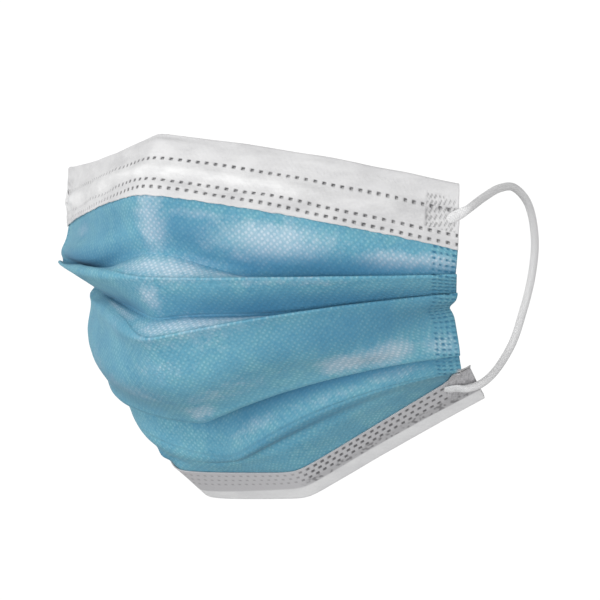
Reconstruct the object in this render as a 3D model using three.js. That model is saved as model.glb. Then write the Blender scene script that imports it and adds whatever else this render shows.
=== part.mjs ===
// Pleated face mask in its worn form: a blue three-ply panel with three pleats, a folded white band
// over its top edge, a folded grey band round its chin edge and a round elastic ear loop at each side.
// Millimetres, +Z up. The front faces -Y and +X is to the right of someone looking at the front.
// Origin: the middle of the top edge, where the mask sits on the bridge of the nose.
import * as THREE from "three";

// Cloth
const WALL = 1.0; // plies pressed together
const GAP = 0.4; // room left between neighbouring pieces
const TIGHT = 0.65; // radius of a sharp fold, to the middle of the wall
const BAND_BEND = 4.0; // radius of the soft bend under the top band
const SOFT_BEND = 1.5; // radius of the soft crease above the chin
const CHIN_BEND = 1.2; // radius where the panel meets the chin band
const HEM_BEND = 2.0; // radius of the crease between chin band and lip
const LEAF = WALL + GAP; // a band leaf, from the middle of the panel to the middle of the leaf
const SIDE_TURN = THREE.MathUtils.degToRad(46); // how far the upright sections are turned at the sides

// Cut of the mesh
const SECTIONS = 30; // upright sections from side to side
const FOLD_STEPS = 2; // facets round a fold
const SPAN_STEPS = 2; // pieces of a plain span
const CHEEK_STEPS = 4; // pieces of the span that swells
const EDGE_STEPS = 4; // facets round the folded edge of a band

// Ear loops
const CORD_DIAMETER = 2.4;
const CORD_SIDES = 8;
const CORD_STEPS = 30;
const CORD_CLEAR = 0.4; // between an end of the loop and the band it lies on
const CORD_EXIT = 1.5; // how far a loop runs straight on past the side edge

// Lines that run across the mask, from the nose down. front: how far the line stands before the nose at
// the middle; height: its level there; sideX, sideY: its ends, the same on both sides; rightZ, leftZ: the
// level of each end; facet: share of the half that stays straight across; round: softness of the bend
// there; bend: how evenly the line is curved; rightSag, leftSag: how late the level changes to each side;
// leftSwell: how far the left half swells out; twist, tilt: how far the right half is set back and raised
// and the left half brought forward and lowered.
const LINES = [
  { name: "top", front: 0.0, height: 0.0, sideX: 73.2, sideY: 42.0, rightZ: -14.5, leftZ: -10.5,
    facet: 0.0, round: 0.03, bend: 0.2, rightSag: 0.35, leftSag: -0.8, leftSwell: 0.0, twist: 0.0, tilt: 0.0 },
  { name: "band", front: 8.5, height: -17.5, sideX: 73.4, sideY: 41.3, rightZ: -32.0, leftZ: -29.0,
    facet: 0.0, round: 0.06, bend: 0.42, rightSag: 0.3, leftSag: -0.2, leftSwell: 0.0, twist: 0.0, tilt: 0.0 },
  { name: "upper", front: 10.0, height: -40.5, sideX: 73.0, sideY: 41.5, rightZ: -39.8, leftZ: -41.0,
    facet: 0.0, round: 0.07, bend: 0.75, rightSag: 0.3, leftSag: 0.3, leftSwell: 0.0, twist: 0.0, tilt: 0.0 },
  { name: "middle", front: 9.0, height: -58.0, sideX: 70.5, sideY: 46.0, rightZ: -45.4, leftZ: -47.0,
    facet: 0.0, round: 0.08, bend: 0.75, rightSag: -0.4, leftSag: -0.3, leftSwell: -3.0, twist: 0.0, tilt: 0.0 },
  { name: "lower", front: -15.6, height: -84.0, sideX: 66.5, sideY: 54.0, rightZ: -63.3, leftZ: -69.0,
    facet: 0.0, round: 0.08, bend: 0.85, rightSag: -0.6, leftSag: 0.95, leftSwell: 4.0, twist: 0.0, tilt: 0.0 },
  { name: "under", front: -18.5, height: -95.5, sideX: 64.0, sideY: 59.0, rightZ: -67.6, leftZ: -73.5,
    facet: 0.1, round: 0.15, bend: 0.6, rightSag: -0.8, leftSag: 0.9, leftSwell: 4.0, twist: 0.0, tilt: 0.0 },
  { name: "chin", front: -36.0, height: -102.0, sideX: 59.5, sideY: 66.0, rightZ: -71.0, leftZ: -76.5,
    facet: 0.4, round: 0.06, bend: 0.0, rightSag: 0.0, leftSag: 0.0, leftSwell: 0.0, twist: 4.0, tilt: 1.2 },
  { name: "hem", front: -41.4, height: -107.0, sideX: 58.5, sideY: 75.0, rightZ: -75.5, leftZ: -81.5,
    facet: 0.34, round: 0.06, bend: 0.0, rightSag: 0.0, leftSag: 0.0, leftSwell: 0.0, twist: 2.0, tilt: 2.0 },
  { name: "lip", front: -44.5, height: -110.0, sideX: 58.0, sideY: 79.0, rightZ: -79.3, leftZ: -84.5,
    facet: 0.33, round: 0.06, bend: 0.0, rightSag: 0.0, leftSag: 0.0, leftSwell: 0.0, twist: 2.0, tilt: 1.6 },
];

// Pleats. line: the crease that shows; opens: 1 when the pocket opens upwards, -1 downwards; rise, inset:
// the inner fold above or below and behind the crease at the middle; sideRise, sideInset: the same where
// the pleat is pressed shut; rightShut, leftShut: share of each half at which it has closed in height;
// rightHold, leftHold: share of each half at which it has closed in depth.
const PLEATS = [
  { line: "upper", opens: 1, rise: 7.0, inset: 6.0, sideRise: 2.0, sideInset: 1.3,
    rightShut: 0.5, leftShut: 0.5, rightHold: 0.7, leftHold: 1.6 },
  { line: "middle", opens: 1, rise: 5.5, inset: 6.0, sideRise: 2.0, sideInset: 1.3,
    rightShut: 0.6, leftShut: 1.1, rightHold: 1.1, leftHold: 1.4 },
  { line: "lower", opens: -1, rise: -1.5, inset: 5.0, sideRise: 2.0, sideInset: 1.6,
    rightShut: 1.1, leftShut: 1.0, rightHold: 1.1, leftHold: 1.0 },
];

// The span between the middle and the lower pleat swells, but is pushed in at the right side.
const CHEEK = { span: 6, swell: 3.5, push: 8.5, from: 0.45 };

// Free run of the right ear loop, from the top band back round the ear and down to the chin band.
const LOOP = [
  { x: 76.0, y: 52.0, z: -18.2 },
  { x: 74.6, y: 63.0, z: -15.6 },
  { x: 73.2, y: 73.0, z: -15.4 },
  { x: 73.0, y: 81.5, z: -20.5 },
  { x: 72.0, y: 87.2, z: -31.0 },
  { x: 70.0, y: 89.0, z: -42.0 },
  { x: 67.5, y: 88.2, z: -53.0 },
  { x: 64.5, y: 86.4, z: -64.0 },
];

const byName = (rows, key, name) => rows.find((row) => row[key] === name);

// Even, smooth step from level to slanted at a facet edge.
function corner(share, facet, round) {
  const near = Math.hypot(share - facet, round);
  const far = Math.hypot(share + facet, round);
  return 0.5 * (near + far) - Math.hypot(facet, round);
}

function ease(share, facet, round, bend) {
  const angled = corner(share, facet, round) / corner(1, facet, round);
  return (1 - bend) * angled + bend * share * share;
}

// Upright section: outwards and sideways unit vectors, both level.
function sectionFrame(across) {
  const angle = SIDE_TURN * (1 - (1 - Math.abs(across)) ** 2) * Math.sign(across);
  return {
    out: new THREE.Vector3(Math.sin(angle), -Math.cos(angle), 0),
    side: new THREE.Vector3(Math.cos(angle), Math.sin(angle), 0),
  };
}

function linePoint(name, across) {
  const row = byName(LINES, "name", name);
  const share = Math.abs(across);
  const plan = ease(share, row.facet, row.round, row.bend);
  const sideZ = across > 0 ? row.rightZ : row.leftZ;
  const sag = across > 0 ? row.rightSag : row.leftSag;
  const fall = ease(share, row.facet, row.round, sag);
  const wave = Math.sin(Math.PI * across);
  const point = new THREE.Vector3(
    row.sideX * across,
    -row.front + (row.sideY + row.front) * plan + row.twist * wave,
    row.height + (sideZ - row.height) * fall + row.tilt * wave,
  );
  return point.addScaledVector(sectionFrame(across).out, row.leftSwell * Math.max(-wave, 0));
}

function innerFold(name, across, frame) {
  const pleat = byName(PLEATS, "line", name);
  const shut = across > 0 ? pleat.rightShut : pleat.leftShut;
  const hold = across > 0 ? pleat.rightHold : pleat.leftHold;
  const open = THREE.MathUtils.smoothstep(1 - Math.abs(across) / shut, 0, 1);
  const deep = THREE.MathUtils.smoothstep(1 - Math.abs(across) / hold, 0, 1);
  const rise = THREE.MathUtils.lerp(pleat.sideRise, pleat.rise, open);
  const inset = THREE.MathUtils.lerp(pleat.sideInset, pleat.inset, deep);
  const point = linePoint(name, across).addScaledVector(frame.out, -inset);
  point.z += pleat.opens * rise;
  return point;
}

// Folds met on the way down one section. turn: 1 bends outwards, -1 bends inwards, 0 is a free edge.
function sectionFolds(across, frame) {
  const stations = [
    { point: linePoint("top", across), turn: 0, radius: 0 },
    { point: linePoint("band", across), turn: -1, radius: BAND_BEND },
    { point: innerFold("upper", across, frame), turn: 1, radius: TIGHT },
    { point: linePoint("upper", across), turn: -1, radius: TIGHT },
    { point: innerFold("middle", across, frame), turn: 1, radius: TIGHT },
    { point: linePoint("middle", across), turn: -1, radius: TIGHT },
    { point: linePoint("lower", across), turn: -1, radius: TIGHT },
    { point: innerFold("lower", across, frame), turn: 1, radius: TIGHT },
    { point: linePoint("under", across), turn: -1, radius: SOFT_BEND },
    { point: linePoint("chin", across), turn: 1, radius: CHIN_BEND },
    { point: linePoint("hem", across), turn: -1, radius: HEM_BEND },
    { point: linePoint("lip", across), turn: 0, radius: 0 },
  ];
  return stations.map(({ point, turn, radius }) => ({
    centre: new THREE.Vector2(point.dot(frame.out) + turn * radius, point.z),
    aside: point.dot(frame.side),
    turn,
    radius,
  }));
}

// Heading of the straight run between two folds.
function runBetween(first, second) {
  const step = second.centre.clone().sub(first.centre);
  const offset = second.turn * second.radius - first.turn * first.radius;
  const room = step.lengthSq() - offset * offset;
  if (room <= 0) {
    throw new Error("two folds of the panel are too close to each other");
  }
  const along = Math.sqrt(room);
  const scale = 1 / step.lengthSq();
  return new THREE.Vector2(
    (step.x * along + step.y * offset) * scale,
    (step.y * along - step.x * offset) * scale,
  );
}

const outward = (heading) => new THREE.Vector2(-heading.y, heading.x);

function cheekSwell(across) {
  const pushed = THREE.MathUtils.clamp((across - CHEEK.from) / (1 - CHEEK.from), 0, 1);
  return CHEEK.swell - CHEEK.push * pushed * pushed;
}

// One section of the panel as stations of its middle line, with the index of each fold's first station.
function sectionPath(across) {
  const frame = sectionFrame(across);
  const folds = sectionFolds(across, frame);
  const runs = [];
  for (let index = 1; index < folds.length; index += 1) {
    runs.push(runBetween(folds[index - 1], folds[index]));
  }
  const stations = [];
  const starts = [];
  folds.forEach((fold, index) => {
    const before = runs[Math.max(index - 1, 0)];
    const after = runs[Math.min(index, runs.length - 1)];
    const bend = Math.atan2(before.cross(after), before.dot(after));
    const angle = fold.turn * bend < 0 ? 0 : bend;
    const steps = fold.turn === 0 ? 0 : FOLD_STEPS;
    const arc = [];
    for (let step = 0; step <= steps; step += 1) {
      const turned = steps === 0 ? 0 : (angle * step) / steps;
      const heading = before.clone().rotateAround(new THREE.Vector2(), turned);
      const place = fold.centre.clone().addScaledVector(outward(heading), -fold.turn * fold.radius);
      arc.push({ place, aside: fold.aside, heading });
    }
    if (index > 0) {
      addSpan(stations, arc[0], before, index, across);
    }
    starts.push(stations.length);
    stations.push(...arc);
  });
  return { frame, stations, starts };
}

// Straight run up to the next fold; the cheek span is swollen or pushed in along its normal.
function addSpan(stations, next, heading, index, across) {
  const last = stations[stations.length - 1];
  const isCheek = index === CHEEK.span;
  const steps = isCheek ? CHEEK_STEPS : SPAN_STEPS;
  for (let step = 1; step < steps; step += 1) {
    const share = step / steps;
    const place = last.place.clone().lerp(next.place, share);
    if (isCheek) {
      const swell = cheekSwell(across) * Math.sin(Math.PI * share) ** 2;
      place.addScaledVector(outward(heading), swell);
    }
    stations.push({ place, aside: THREE.MathUtils.lerp(last.aside, next.aside, share), heading });
  }
}

// A point of a section, moved along a direction that lies in the section.
function lift(frame, station, direction, distance) {
  const level = station.place.x + direction.x * distance;
  const point = frame.out.clone().multiplyScalar(level).addScaledVector(frame.side, station.aside);
  point.z = station.place.y + direction.y * distance;
  return point;
}

// Wall between two edges of a section.
function panelSection(path) {
  const front = path.stations.map((station) => lift(path.frame, station, outward(station.heading), WALL / 2));
  const rear = path.stations.map((station) => lift(path.frame, station, outward(station.heading), -WALL / 2));
  return { front, rear };
}

// Strip folded round a free edge of the panel: its front leaf, the half round and its rear leaf.
function bandSection(path, leafIndices, rearIndices, edgeIndex, edgeSign) {
  const far = [];
  const near = [];
  const place = (station, direction, sign) => {
    far.push(lift(path.frame, station, direction, sign * (LEAF + WALL / 2)));
    near.push(lift(path.frame, station, direction, sign * (LEAF - WALL / 2)));
  };
  leafIndices.forEach((index) => place(path.stations[index], outward(path.stations[index].heading), 1));
  const edge = path.stations[edgeIndex];
  const side = outward(edge.heading);
  for (let step = 1; step < EDGE_STEPS; step += 1) {
    const angle = (Math.PI * step) / EDGE_STEPS;
    const direction = side.clone().multiplyScalar(Math.cos(angle));
    direction.addScaledVector(edge.heading, edgeSign * Math.sin(angle));
    place(edge, direction, 1);
  }
  rearIndices.forEach((index) => place(path.stations[index], outward(path.stations[index].heading), -1));
  if (edgeSign < 0) {
    far.reverse();
    near.reverse();
  }
  return { front: far, rear: near };
}

// Closed body from sections that each have a front and a rear edge of the same count.
function stripBody(sections) {
  const width = sections[0].front.length;
  const ring = 2 * width;
  const positions = [];
  sections.forEach(({ front, rear }) => {
    front.forEach((point) => positions.push(point.x, point.y, point.z));
    [...rear].reverse().forEach((point) => positions.push(point.x, point.y, point.z));
  });
  const faces = [];
  const quad = (a, b, c, d) => faces.push(a, b, c, a, c, d);
  for (let section = 0; section + 1 < sections.length; section += 1) {
    const here = section * ring;
    const there = here + ring;
    for (let index = 0; index < ring; index += 1) {
      const next = (index + 1) % ring;
      quad(here + index, here + next, there + next, there + index);
    }
  }
  const last = (sections.length - 1) * ring;
  for (let index = 0; index + 1 < width; index += 1) {
    const across = ring - 1 - index;
    quad(index, across, across - 1, index + 1);
    quad(last + index, last + index + 1, last + across - 1, last + across);
  }
  const geometry = new THREE.BufferGeometry();
  geometry.setAttribute("position", new THREE.Float32BufferAttribute(positions, 3));
  geometry.setIndex(faces);
  geometry.computeVertexNormals();
  return geometry;
}

const countUp = (first, last) => Array.from({ length: last - first + 1 }, (unused, step) => first + step);

const paths = countUp(0, SECTIONS).map((step) => sectionPath((2 * step) / SECTIONS - 1));
const starts = paths[0].starts;
const lipIndex = paths[0].stations.length - 1;
const bandEnd = starts[1] + FOLD_STEPS / 2;
const chinStart = starts[9] + FOLD_STEPS;
const topLeaf = countUp(0, bandEnd).reverse();
const topRear = countUp(0, 1);
const chinLeaf = countUp(chinStart, lipIndex);
const chinRear = countUp(starts[10] + FOLD_STEPS, lipIndex).reverse();

const panelBody = stripBody(paths.map(panelSection));
const noseBody = stripBody(paths.map((path) => bandSection(path, topLeaf, topRear, 0, -1)));
const chinBody = stripBody(paths.map((path) => bandSection(path, chinLeaf, chinRear, lipIndex, 1)));

// Point on the front of a band, held off by the half of the cord.
function anchor(across, stationIndex, share) {
  const path = sectionPath(across);
  const first = path.stations[stationIndex];
  const second = path.stations[stationIndex + 1];
  const distance = LEAF + WALL / 2 + CORD_CLEAR + CORD_DIAMETER / 2;
  const from = lift(path.frame, first, outward(first.heading), distance);
  const to = lift(path.frame, second, outward(second.heading), distance);
  return from.lerp(to, share);
}

// Where the loop clears the side edge on its way to or from a band.
function exitPoint(side, stationIndex, share) {
  const point = anchor(side, stationIndex, share);
  return point.addScaledVector(sectionFrame(side).side, side * CORD_EXIT);
}

// Ear loop: laid on the top band, once round, laid on the chin band.
function earLoop(side) {
  const drop = side > 0 ? 0 : linePoint("hem", -1).z - linePoint("hem", 1).z;
  const raise = side > 0 ? 0 : linePoint("top", -1).z - linePoint("top", 1).z;
  const free = LOOP.map((point, index) => {
    const share = (index + 1) / (LOOP.length + 1);
    return new THREE.Vector3(side * point.x, point.y, point.z + THREE.MathUtils.lerp(raise, drop, share));
  });
  const route = [
    anchor(side * 0.945, 1, 0.16),
    exitPoint(side, 0, 0.86),
    ...free,
    exitPoint(side, chinStart + 1, 0.14),
    anchor(side * 0.91, chinStart, 0.44),
  ];
  const outline = new THREE.Shape();
  countUp(0, CORD_SIDES - 1).forEach((step) => {
    const angle = (2 * Math.PI * (step + 0.5)) / CORD_SIDES;
    const x = (CORD_DIAMETER / 2) * Math.cos(angle);
    const y = (CORD_DIAMETER / 2) * Math.sin(angle);
    if (step === 0) {
      outline.moveTo(x, y);
    } else {
      outline.lineTo(x, y);
    }
  });
  outline.closePath();
  return new THREE.ExtrudeGeometry(outline, {
    steps: CORD_STEPS,
    bevelEnabled: false,
    extrudePath: new THREE.CatmullRomCurve3(route, false, "centripetal"),
  });
}

const blueCloth = new THREE.MeshStandardMaterial({ name: "blue_cloth", color: 0x5f9fbf, roughness: 0.85 });
const whiteCloth = new THREE.MeshStandardMaterial({ name: "white_cloth", color: 0xf0f0f0, roughness: 0.85 });
const greyCloth = new THREE.MeshStandardMaterial({ name: "grey_cloth", color: 0xb9b9bb, roughness: 0.85 });
const elastic = new THREE.MeshStandardMaterial({ name: "white_elastic", color: 0xeeeeee, roughness: 0.9 });

function piece(name, geometry, material) {
  const mesh = new THREE.Mesh(geometry, material);
  mesh.name = name;
  return mesh;
}

const part = new THREE.Group();
part.name = "face_mask";
part.add(
  piece("pleated_panel", panelBody, blueCloth),
  piece("nose_band", noseBody, whiteCloth),
  piece("chin_band", chinBody, greyCloth),
  piece("ear_loop_right", earLoop(1), elastic),
  piece("ear_loop_left", earLoop(-1), elastic),
);

export default part;
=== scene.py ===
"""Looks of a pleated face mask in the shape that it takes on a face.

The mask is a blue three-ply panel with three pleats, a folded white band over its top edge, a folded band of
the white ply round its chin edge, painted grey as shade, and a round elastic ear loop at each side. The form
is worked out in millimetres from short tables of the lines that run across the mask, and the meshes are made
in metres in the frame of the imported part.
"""

from __future__ import annotations

import logging
import math
from dataclasses import dataclass, field
from enum import Enum

import bpy
import numpy as np
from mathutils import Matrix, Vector, noise

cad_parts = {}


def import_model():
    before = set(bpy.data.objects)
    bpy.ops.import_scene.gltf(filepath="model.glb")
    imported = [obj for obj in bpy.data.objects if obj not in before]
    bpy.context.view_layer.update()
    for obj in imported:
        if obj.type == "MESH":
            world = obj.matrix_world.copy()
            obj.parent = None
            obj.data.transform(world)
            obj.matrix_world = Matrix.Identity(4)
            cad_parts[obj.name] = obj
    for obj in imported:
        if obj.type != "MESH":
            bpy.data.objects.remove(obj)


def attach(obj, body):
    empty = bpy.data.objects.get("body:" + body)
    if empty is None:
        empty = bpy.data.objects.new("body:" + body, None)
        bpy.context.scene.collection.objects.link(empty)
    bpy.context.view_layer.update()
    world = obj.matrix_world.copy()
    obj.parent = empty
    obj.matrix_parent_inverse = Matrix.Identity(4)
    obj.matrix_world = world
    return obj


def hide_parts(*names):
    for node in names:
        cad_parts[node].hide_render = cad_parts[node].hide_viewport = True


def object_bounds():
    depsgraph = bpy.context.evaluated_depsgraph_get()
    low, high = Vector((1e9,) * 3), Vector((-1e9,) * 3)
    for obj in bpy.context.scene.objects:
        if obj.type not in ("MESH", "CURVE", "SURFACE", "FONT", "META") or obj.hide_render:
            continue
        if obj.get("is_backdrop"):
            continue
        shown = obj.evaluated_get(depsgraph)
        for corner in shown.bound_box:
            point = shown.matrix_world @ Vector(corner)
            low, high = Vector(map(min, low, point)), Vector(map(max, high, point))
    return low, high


LOG = logging.getLogger("face_mask")
MM = 0.001
BODY = "root"

Colour = tuple[float, float, float]
Limits = tuple[float, float]
Grid = np.ndarray
Value = np.ndarray | float
Socket = bpy.types.NodeSocket
Material = bpy.types.Material
Piece = bpy.types.Object


def smooth(value: Value, low: Value, high: Value) -> Value:
    """Step that rises smoothly from 0 to 1.

    Args:
        value: Where the step is read.
        low: Value at which it leaves 0.
        high: Value at which it reaches 1.

    Returns:
        The height of the step, in the shape of value.
    """
    share = np.clip((value - low) / (high - low), 0.0, 1.0)
    return share * share * (3.0 - 2.0 * share)


def corner(share: Value, facet: Value, rounding: float) -> Value:
    """Even curve that is level inside a facet and slanted outside it.

    Args:
        share: Distance from the middle, as a share of the half width.
        facet: Half width of the level stretch.
        rounding: Softness of the bend.

    Returns:
        The rise of the curve, in the shape of share.
    """
    near = np.hypot(share - facet, rounding)
    far = np.hypot(share + facet, rounding)
    return 0.5 * (near + far) - np.hypot(facet, rounding)


def ease(share: Grid, facet: Value, rounding: float, bend: Value) -> Grid:
    """Way from the middle of a line to its end, partly angled and partly evenly curved.

    Args:
        share: Distance from the middle, as a share of the half width.
        facet: Half width of the level stretch.
        rounding: Softness of the bend at its end.
        bend: Share of the even curve.

    Returns:
        Values from 0 at the middle to 1 at the end.
    """
    angled = corner(share, facet, rounding) / corner(1.0, facet, rounding)
    return (1.0 - bend) * angled + bend * share * share


def travelled(points: Grid, axis: int) -> Grid:
    """Distance along one direction of a grid of points.

    Args:
        points: Points, with x, y and z in the last place.
        axis: Direction in which the distance is counted.

    Returns:
        Distances from the first point, one for each point.
    """
    total = np.cumsum(np.linalg.norm(np.diff(points, axis=axis), axis=-1), axis=axis)
    return np.concatenate([np.zeros_like(np.take(total, [0], axis=axis)), total], axis=axis)


def spaced(limits: tuple[float, ...], counts: tuple[int, ...]) -> Grid:
    """Shares across the mask, closer together where the cloth carries finer detail.

    Args:
        limits: Shares at which the spacing changes.
        counts: Steps between neighbouring limits.

    Returns:
        All shares in rising order.
    """
    stretches = zip(limits, limits[1:], counts)
    parts = [np.linspace(low, high, count, endpoint=False) for low, high, count in stretches]
    return np.concatenate([*parts, [limits[-1]]])


SIDE_TURN = math.radians(46.0)


def section_angle(across: Grid) -> Grid:
    """Angle by which the upright sections turn to the sides, for shares from -1 to 1 of the half width."""
    return SIDE_TURN * (1.0 - (1.0 - np.abs(across)) ** 2) * np.sign(across)


DIP_AT = -0.05
DIP_WIDTH = 0.25
PLEAT_END = 0.86


@dataclass(frozen=True)
class Line:
    """A line across the mask, from the middle to both ends, in millimetres."""

    front: float
    height: float
    side_x: float
    side_y: float
    right_z: float
    left_z: float
    facet: float
    rounding: float
    bend: float
    right_sag: float
    left_sag: float
    left_swell: float = 0.0
    left_reach: float = 0.0
    left_facet: float = 0.0
    twist: float = 0.0
    tilt: float = 0.0
    dip: float = 0.0

    def points(self, across: Grid) -> Grid:
        """Places on the line.

        Args:
            across: Shares of the half width, from -1 at the left end to 1 at the right end.

        Returns:
            One row of x, y and z for each share.
        """
        share = np.abs(across)
        facet = np.where(across > 0, self.facet, max(self.facet, self.left_facet))
        plan = ease(share, facet, self.rounding, self.bend)
        side_z = np.where(across > 0, self.right_z, self.left_z)
        sag = np.where(across > 0, self.right_sag, self.left_sag)
        fall = ease(share, facet, self.rounding, sag)
        x = self.side_x * across - self.left_reach * np.maximum(-across, 0.0) ** 3
        wave = np.sin(np.pi * across)
        y = -self.front + (self.side_y + self.front) * plan + self.twist * wave
        y = y + self.dip * np.exp(-(((across - DIP_AT) / DIP_WIDTH) ** 2))
        z = self.height + (side_z - self.height) * fall + self.tilt * wave
        pushed = self.left_swell * np.maximum(-wave, 0.0)
        x = x + pushed * np.sin(section_angle(across))
        y = y - pushed * np.cos(section_angle(across))
        return np.stack([x, y, z], axis=-1)


@dataclass(frozen=True)
class Pleat:
    """Inner fold of a pleat, measured from the crease that shows, in millimetres."""

    opens: int
    rise: float
    inset: float
    side_rise: float
    side_inset: float
    right_shut: float
    left_shut: float
    right_hold: float
    left_hold: float

    def inner(self, crease: Grid, across: Grid, out: Grid) -> Grid:
        """Places on the inner fold.

        Args:
            crease: Places on the crease.
            across: Shares of the half width.
            out: Outward directions of the sections.

        Returns:
            One row of x, y and z for each share.
        """
        share = np.abs(across)
        shut = np.where(across > 0, self.right_shut, self.left_shut)
        hold = np.where(across > 0, self.right_hold, self.left_hold)
        opened = smooth(1.0 - share / shut, 0.0, 1.0)
        deep = smooth(1.0 - share / hold, 0.0, 1.0) * (1.0 - smooth(share, PLEAT_END, 1.0))
        rise = self.side_rise + (self.rise - self.side_rise) * opened
        inset = self.side_inset + (self.inset - self.side_inset) * deep
        moved = crease - out * inset[:, None]
        moved[:, 2] += self.opens * rise
        return moved


LINES = {
    "top": Line(0.0, -0.5, 73.2, 42.0, -14.5, -10.5, 0.0, 0.04, 0.2, 0.35, -0.8),
    "band": Line(8.5, -17.5, 73.4, 41.3, -32.0, -29.0, 0.0, 0.06, 0.42, 0.3, -0.2),
    "upper": Line(10.0, -40.5, 73.0, 41.5, -39.8, -40.5, 0.0, 0.05, 0.75, 0.3, 0.3, 0.0, 5.2),
    "middle": Line(9.0, -58.0, 70.5, 46.0, -45.4, -50.5, 0.0, 0.05, 0.75, -0.4, -0.3, -4.0, -2.0),
    "lower": Line(-15.6, -84.0, 66.5, 54.0, -63.3, -69.0, 0.0, 0.05, 0.85, -0.6, 0.95, 5.2),
    "under": Line(-18.5, -95.5, 64.0, 59.0, -67.6, -73.5, 0.1, 0.15, 0.6, -0.8, 0.9, 2.9, dip=9.0),
    "chin": Line(
        -36.0, -102.0, 61.2, 67.8, -69.2, -76.5, 0.30, 0.05, 0.0, 0.0, 0.0,
        left_facet=0.36, twist=4.0, tilt=1.2,
    ),
    "hem": Line(
        -41.4, -106.2, 60.0, 76.0, -74.4, -81.5, 0.31, 0.05, 0.0, 0.0, 0.0,
        left_facet=0.335, twist=2.0, tilt=2.0,
    ),
    "lip": Line(
        -44.5, -110.0, 59.5, 79.2, -78.2, -84.0, 0.30, 0.05, 0.0, 0.0, 0.0,
        left_facet=0.325, twist=2.0, tilt=1.6,
    ),
}

PLEATS = {
    "upper": Pleat(1, 7.0, 6.0, 0.2, 1.5, 0.5, 0.5, 1.15, 1.7),
    "middle": Pleat(1, 5.5, 6.3, 0.2, 1.5, 0.6, 1.7, 1.1, 1.4),
    "lower": Pleat(-1, -1.5, 8.0, 0.2, 1.6, 1.1, 1.0, 1.1, 1.0),
}

SPANS = len(LINES) + len(PLEATS) - 1


@dataclass(frozen=True)
class Spot:
    """A soft spot on the cloth, placed by share across and by span down the panel."""

    across: float
    level: float
    wide: float
    tall: float
    amount: float

    def distance(self, sections: Sections) -> Grid:
        """Squared distance from the middle of the spot, measured in its own width and height.

        Args:
            sections: Sections of the panel.

        Returns:
            One value for each station of each section.
        """
        sideways = ((sections.across - self.across) / self.wide) ** 2
        down = ((sections.level - self.level) / self.tall) ** 2
        return sideways[:, None] + down[None, :]


def spots(*rows: tuple[float, ...]) -> tuple[Spot, ...]:
    """Spots from the rows of a table."""
    return tuple(Spot(*row) for row in rows)


DENTS = spots(
    (-0.62, 1.70, 0.32, 0.26, 4.0),
    (0.48, 1.55, 0.34, 0.30, 1.6),
    (0.30, 8.20, 0.30, 0.14, -1.4),
    (0.22, 1.45, 0.12, 0.30, 0.8),
    (0.42, 1.30, 0.10, 0.35, -0.7),
    (0.60, 1.62, 0.12, 0.28, 0.9),
    (0.80, 1.35, 0.10, 0.40, -0.6),
    (0.30, 3.50, 0.20, 0.50, 0.5),
    (0.62, 3.50, 0.14, 0.50, -0.5),
    (0.12, 5.40, 0.16, 0.25, 0.6),
    (0.40, 5.62, 0.14, 0.22, -0.9),
    (0.74, 5.70, 0.10, 0.16, 1.1),
    (-0.30, 5.50, 0.16, 0.30, 0.8),
    (0.20, 8.45, 0.16, 0.30, -0.8),
    (0.46, 8.40, 0.16, 0.35, 0.7),
    (-0.41, 8.52, 0.06, 0.20, 1.2),
    (-0.31, 8.50, 0.06, 0.22, -0.8),
)

# Painted sheen: pale patches laid into the blue cloth's colour where its soft gloss would catch the light, on
# the pleat ledges, the nose ridge and the bulges.
PAINTED_SHEEN_SPOTS = spots(
    (0.02, 1.45, 0.07, 0.55, 0.95),
    (0.19, 1.13, 0.10, 0.10, 0.65),
    (0.27, 1.45, 0.09, 0.35, 0.45),
    (0.40, 1.22, 0.12, 0.16, 0.55),
    (0.46, 1.42, 0.18, 0.32, 1.00),
    (0.37, 1.70, 0.05, 0.12, 0.70),
    (0.62, 1.30, 0.08, 0.14, 0.55),
    (0.84, 1.60, 0.10, 0.24, 1.00),
    (0.95, 1.55, 0.07, 0.30, 0.95),
    (-0.62, 1.24, 0.10, 0.14, 0.50),
    (0.16, 2.50, 0.30, 0.48, 0.95),
    (0.50, 3.08, 0.22, 0.14, 0.45),
    (0.01, 3.45, 0.06, 0.36, 0.75),
    (0.20, 4.50, 0.28, 0.48, 0.95),
    (-0.34, 4.60, 0.20, 0.34, 0.75),
    (0.00, 5.30, 0.12, 0.12, 0.40),
    (0.04, 5.86, 0.08, 0.10, 0.70),
    (0.20, 5.70, 0.18, 0.14, 0.40),
    (-0.25, 5.60, 0.22, 0.14, 0.45),
    (-0.55, 5.55, 0.10, 0.25, 0.45),
    (0.78, 5.78, 0.08, 0.18, 1.00),
    (0.66, 5.78, 0.10, 0.16, 0.95),
    (0.94, 5.80, 0.06, 0.16, 0.60),
    (0.52, 7.70, 0.20, 0.20, 0.35),
    (0.22, 7.60, 0.14, 0.20, 0.45),
    (0.80, 7.50, 0.10, 0.30, 0.45),
)

# Painted shade: deeper blue laid into the cloth's colour in the pleat gaps, under the overhanging folds and
# on stretches that should read darker.
PAINTED_SHADE_SPOTS = spots(
    (-0.56, 1.86, 0.42, 0.26, 1.00),
    (0.62, 1.87, 0.46, 0.34, 1.00),
    (0.34, 1.75, 0.14, 0.16, 0.35),
    (0.52, 3.84, 0.46, 0.46, 1.00),
    (0.16, 3.85, 0.18, 0.22, 0.55),
    (-0.40, 3.92, 0.35, 0.30, 0.80),
    (0.30, 4.00, 0.40, 0.10, 0.90),
    (0.50, 5.20, 0.14, 0.30, 0.40),
    (0.84, 5.22, 0.14, 0.20, 0.50),
    (0.50, 7.18, 0.48, 0.32, 1.00),
    (0.02, 7.15, 0.30, 0.26, 0.60),
    (0.16, 1.48, 0.14, 0.42, 0.78),
    (-0.45, 1.25, 0.35, 0.35, 0.40),
    (0.72, 5.27, 0.26, 0.32, 0.70),
    (-0.45, 5.50, 0.40, 0.55, 0.30),
    (-0.40, 8.55, 0.06, 0.22, 0.70),
    (0.34, 8.10, 0.34, 0.14, 0.60),
)


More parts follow.
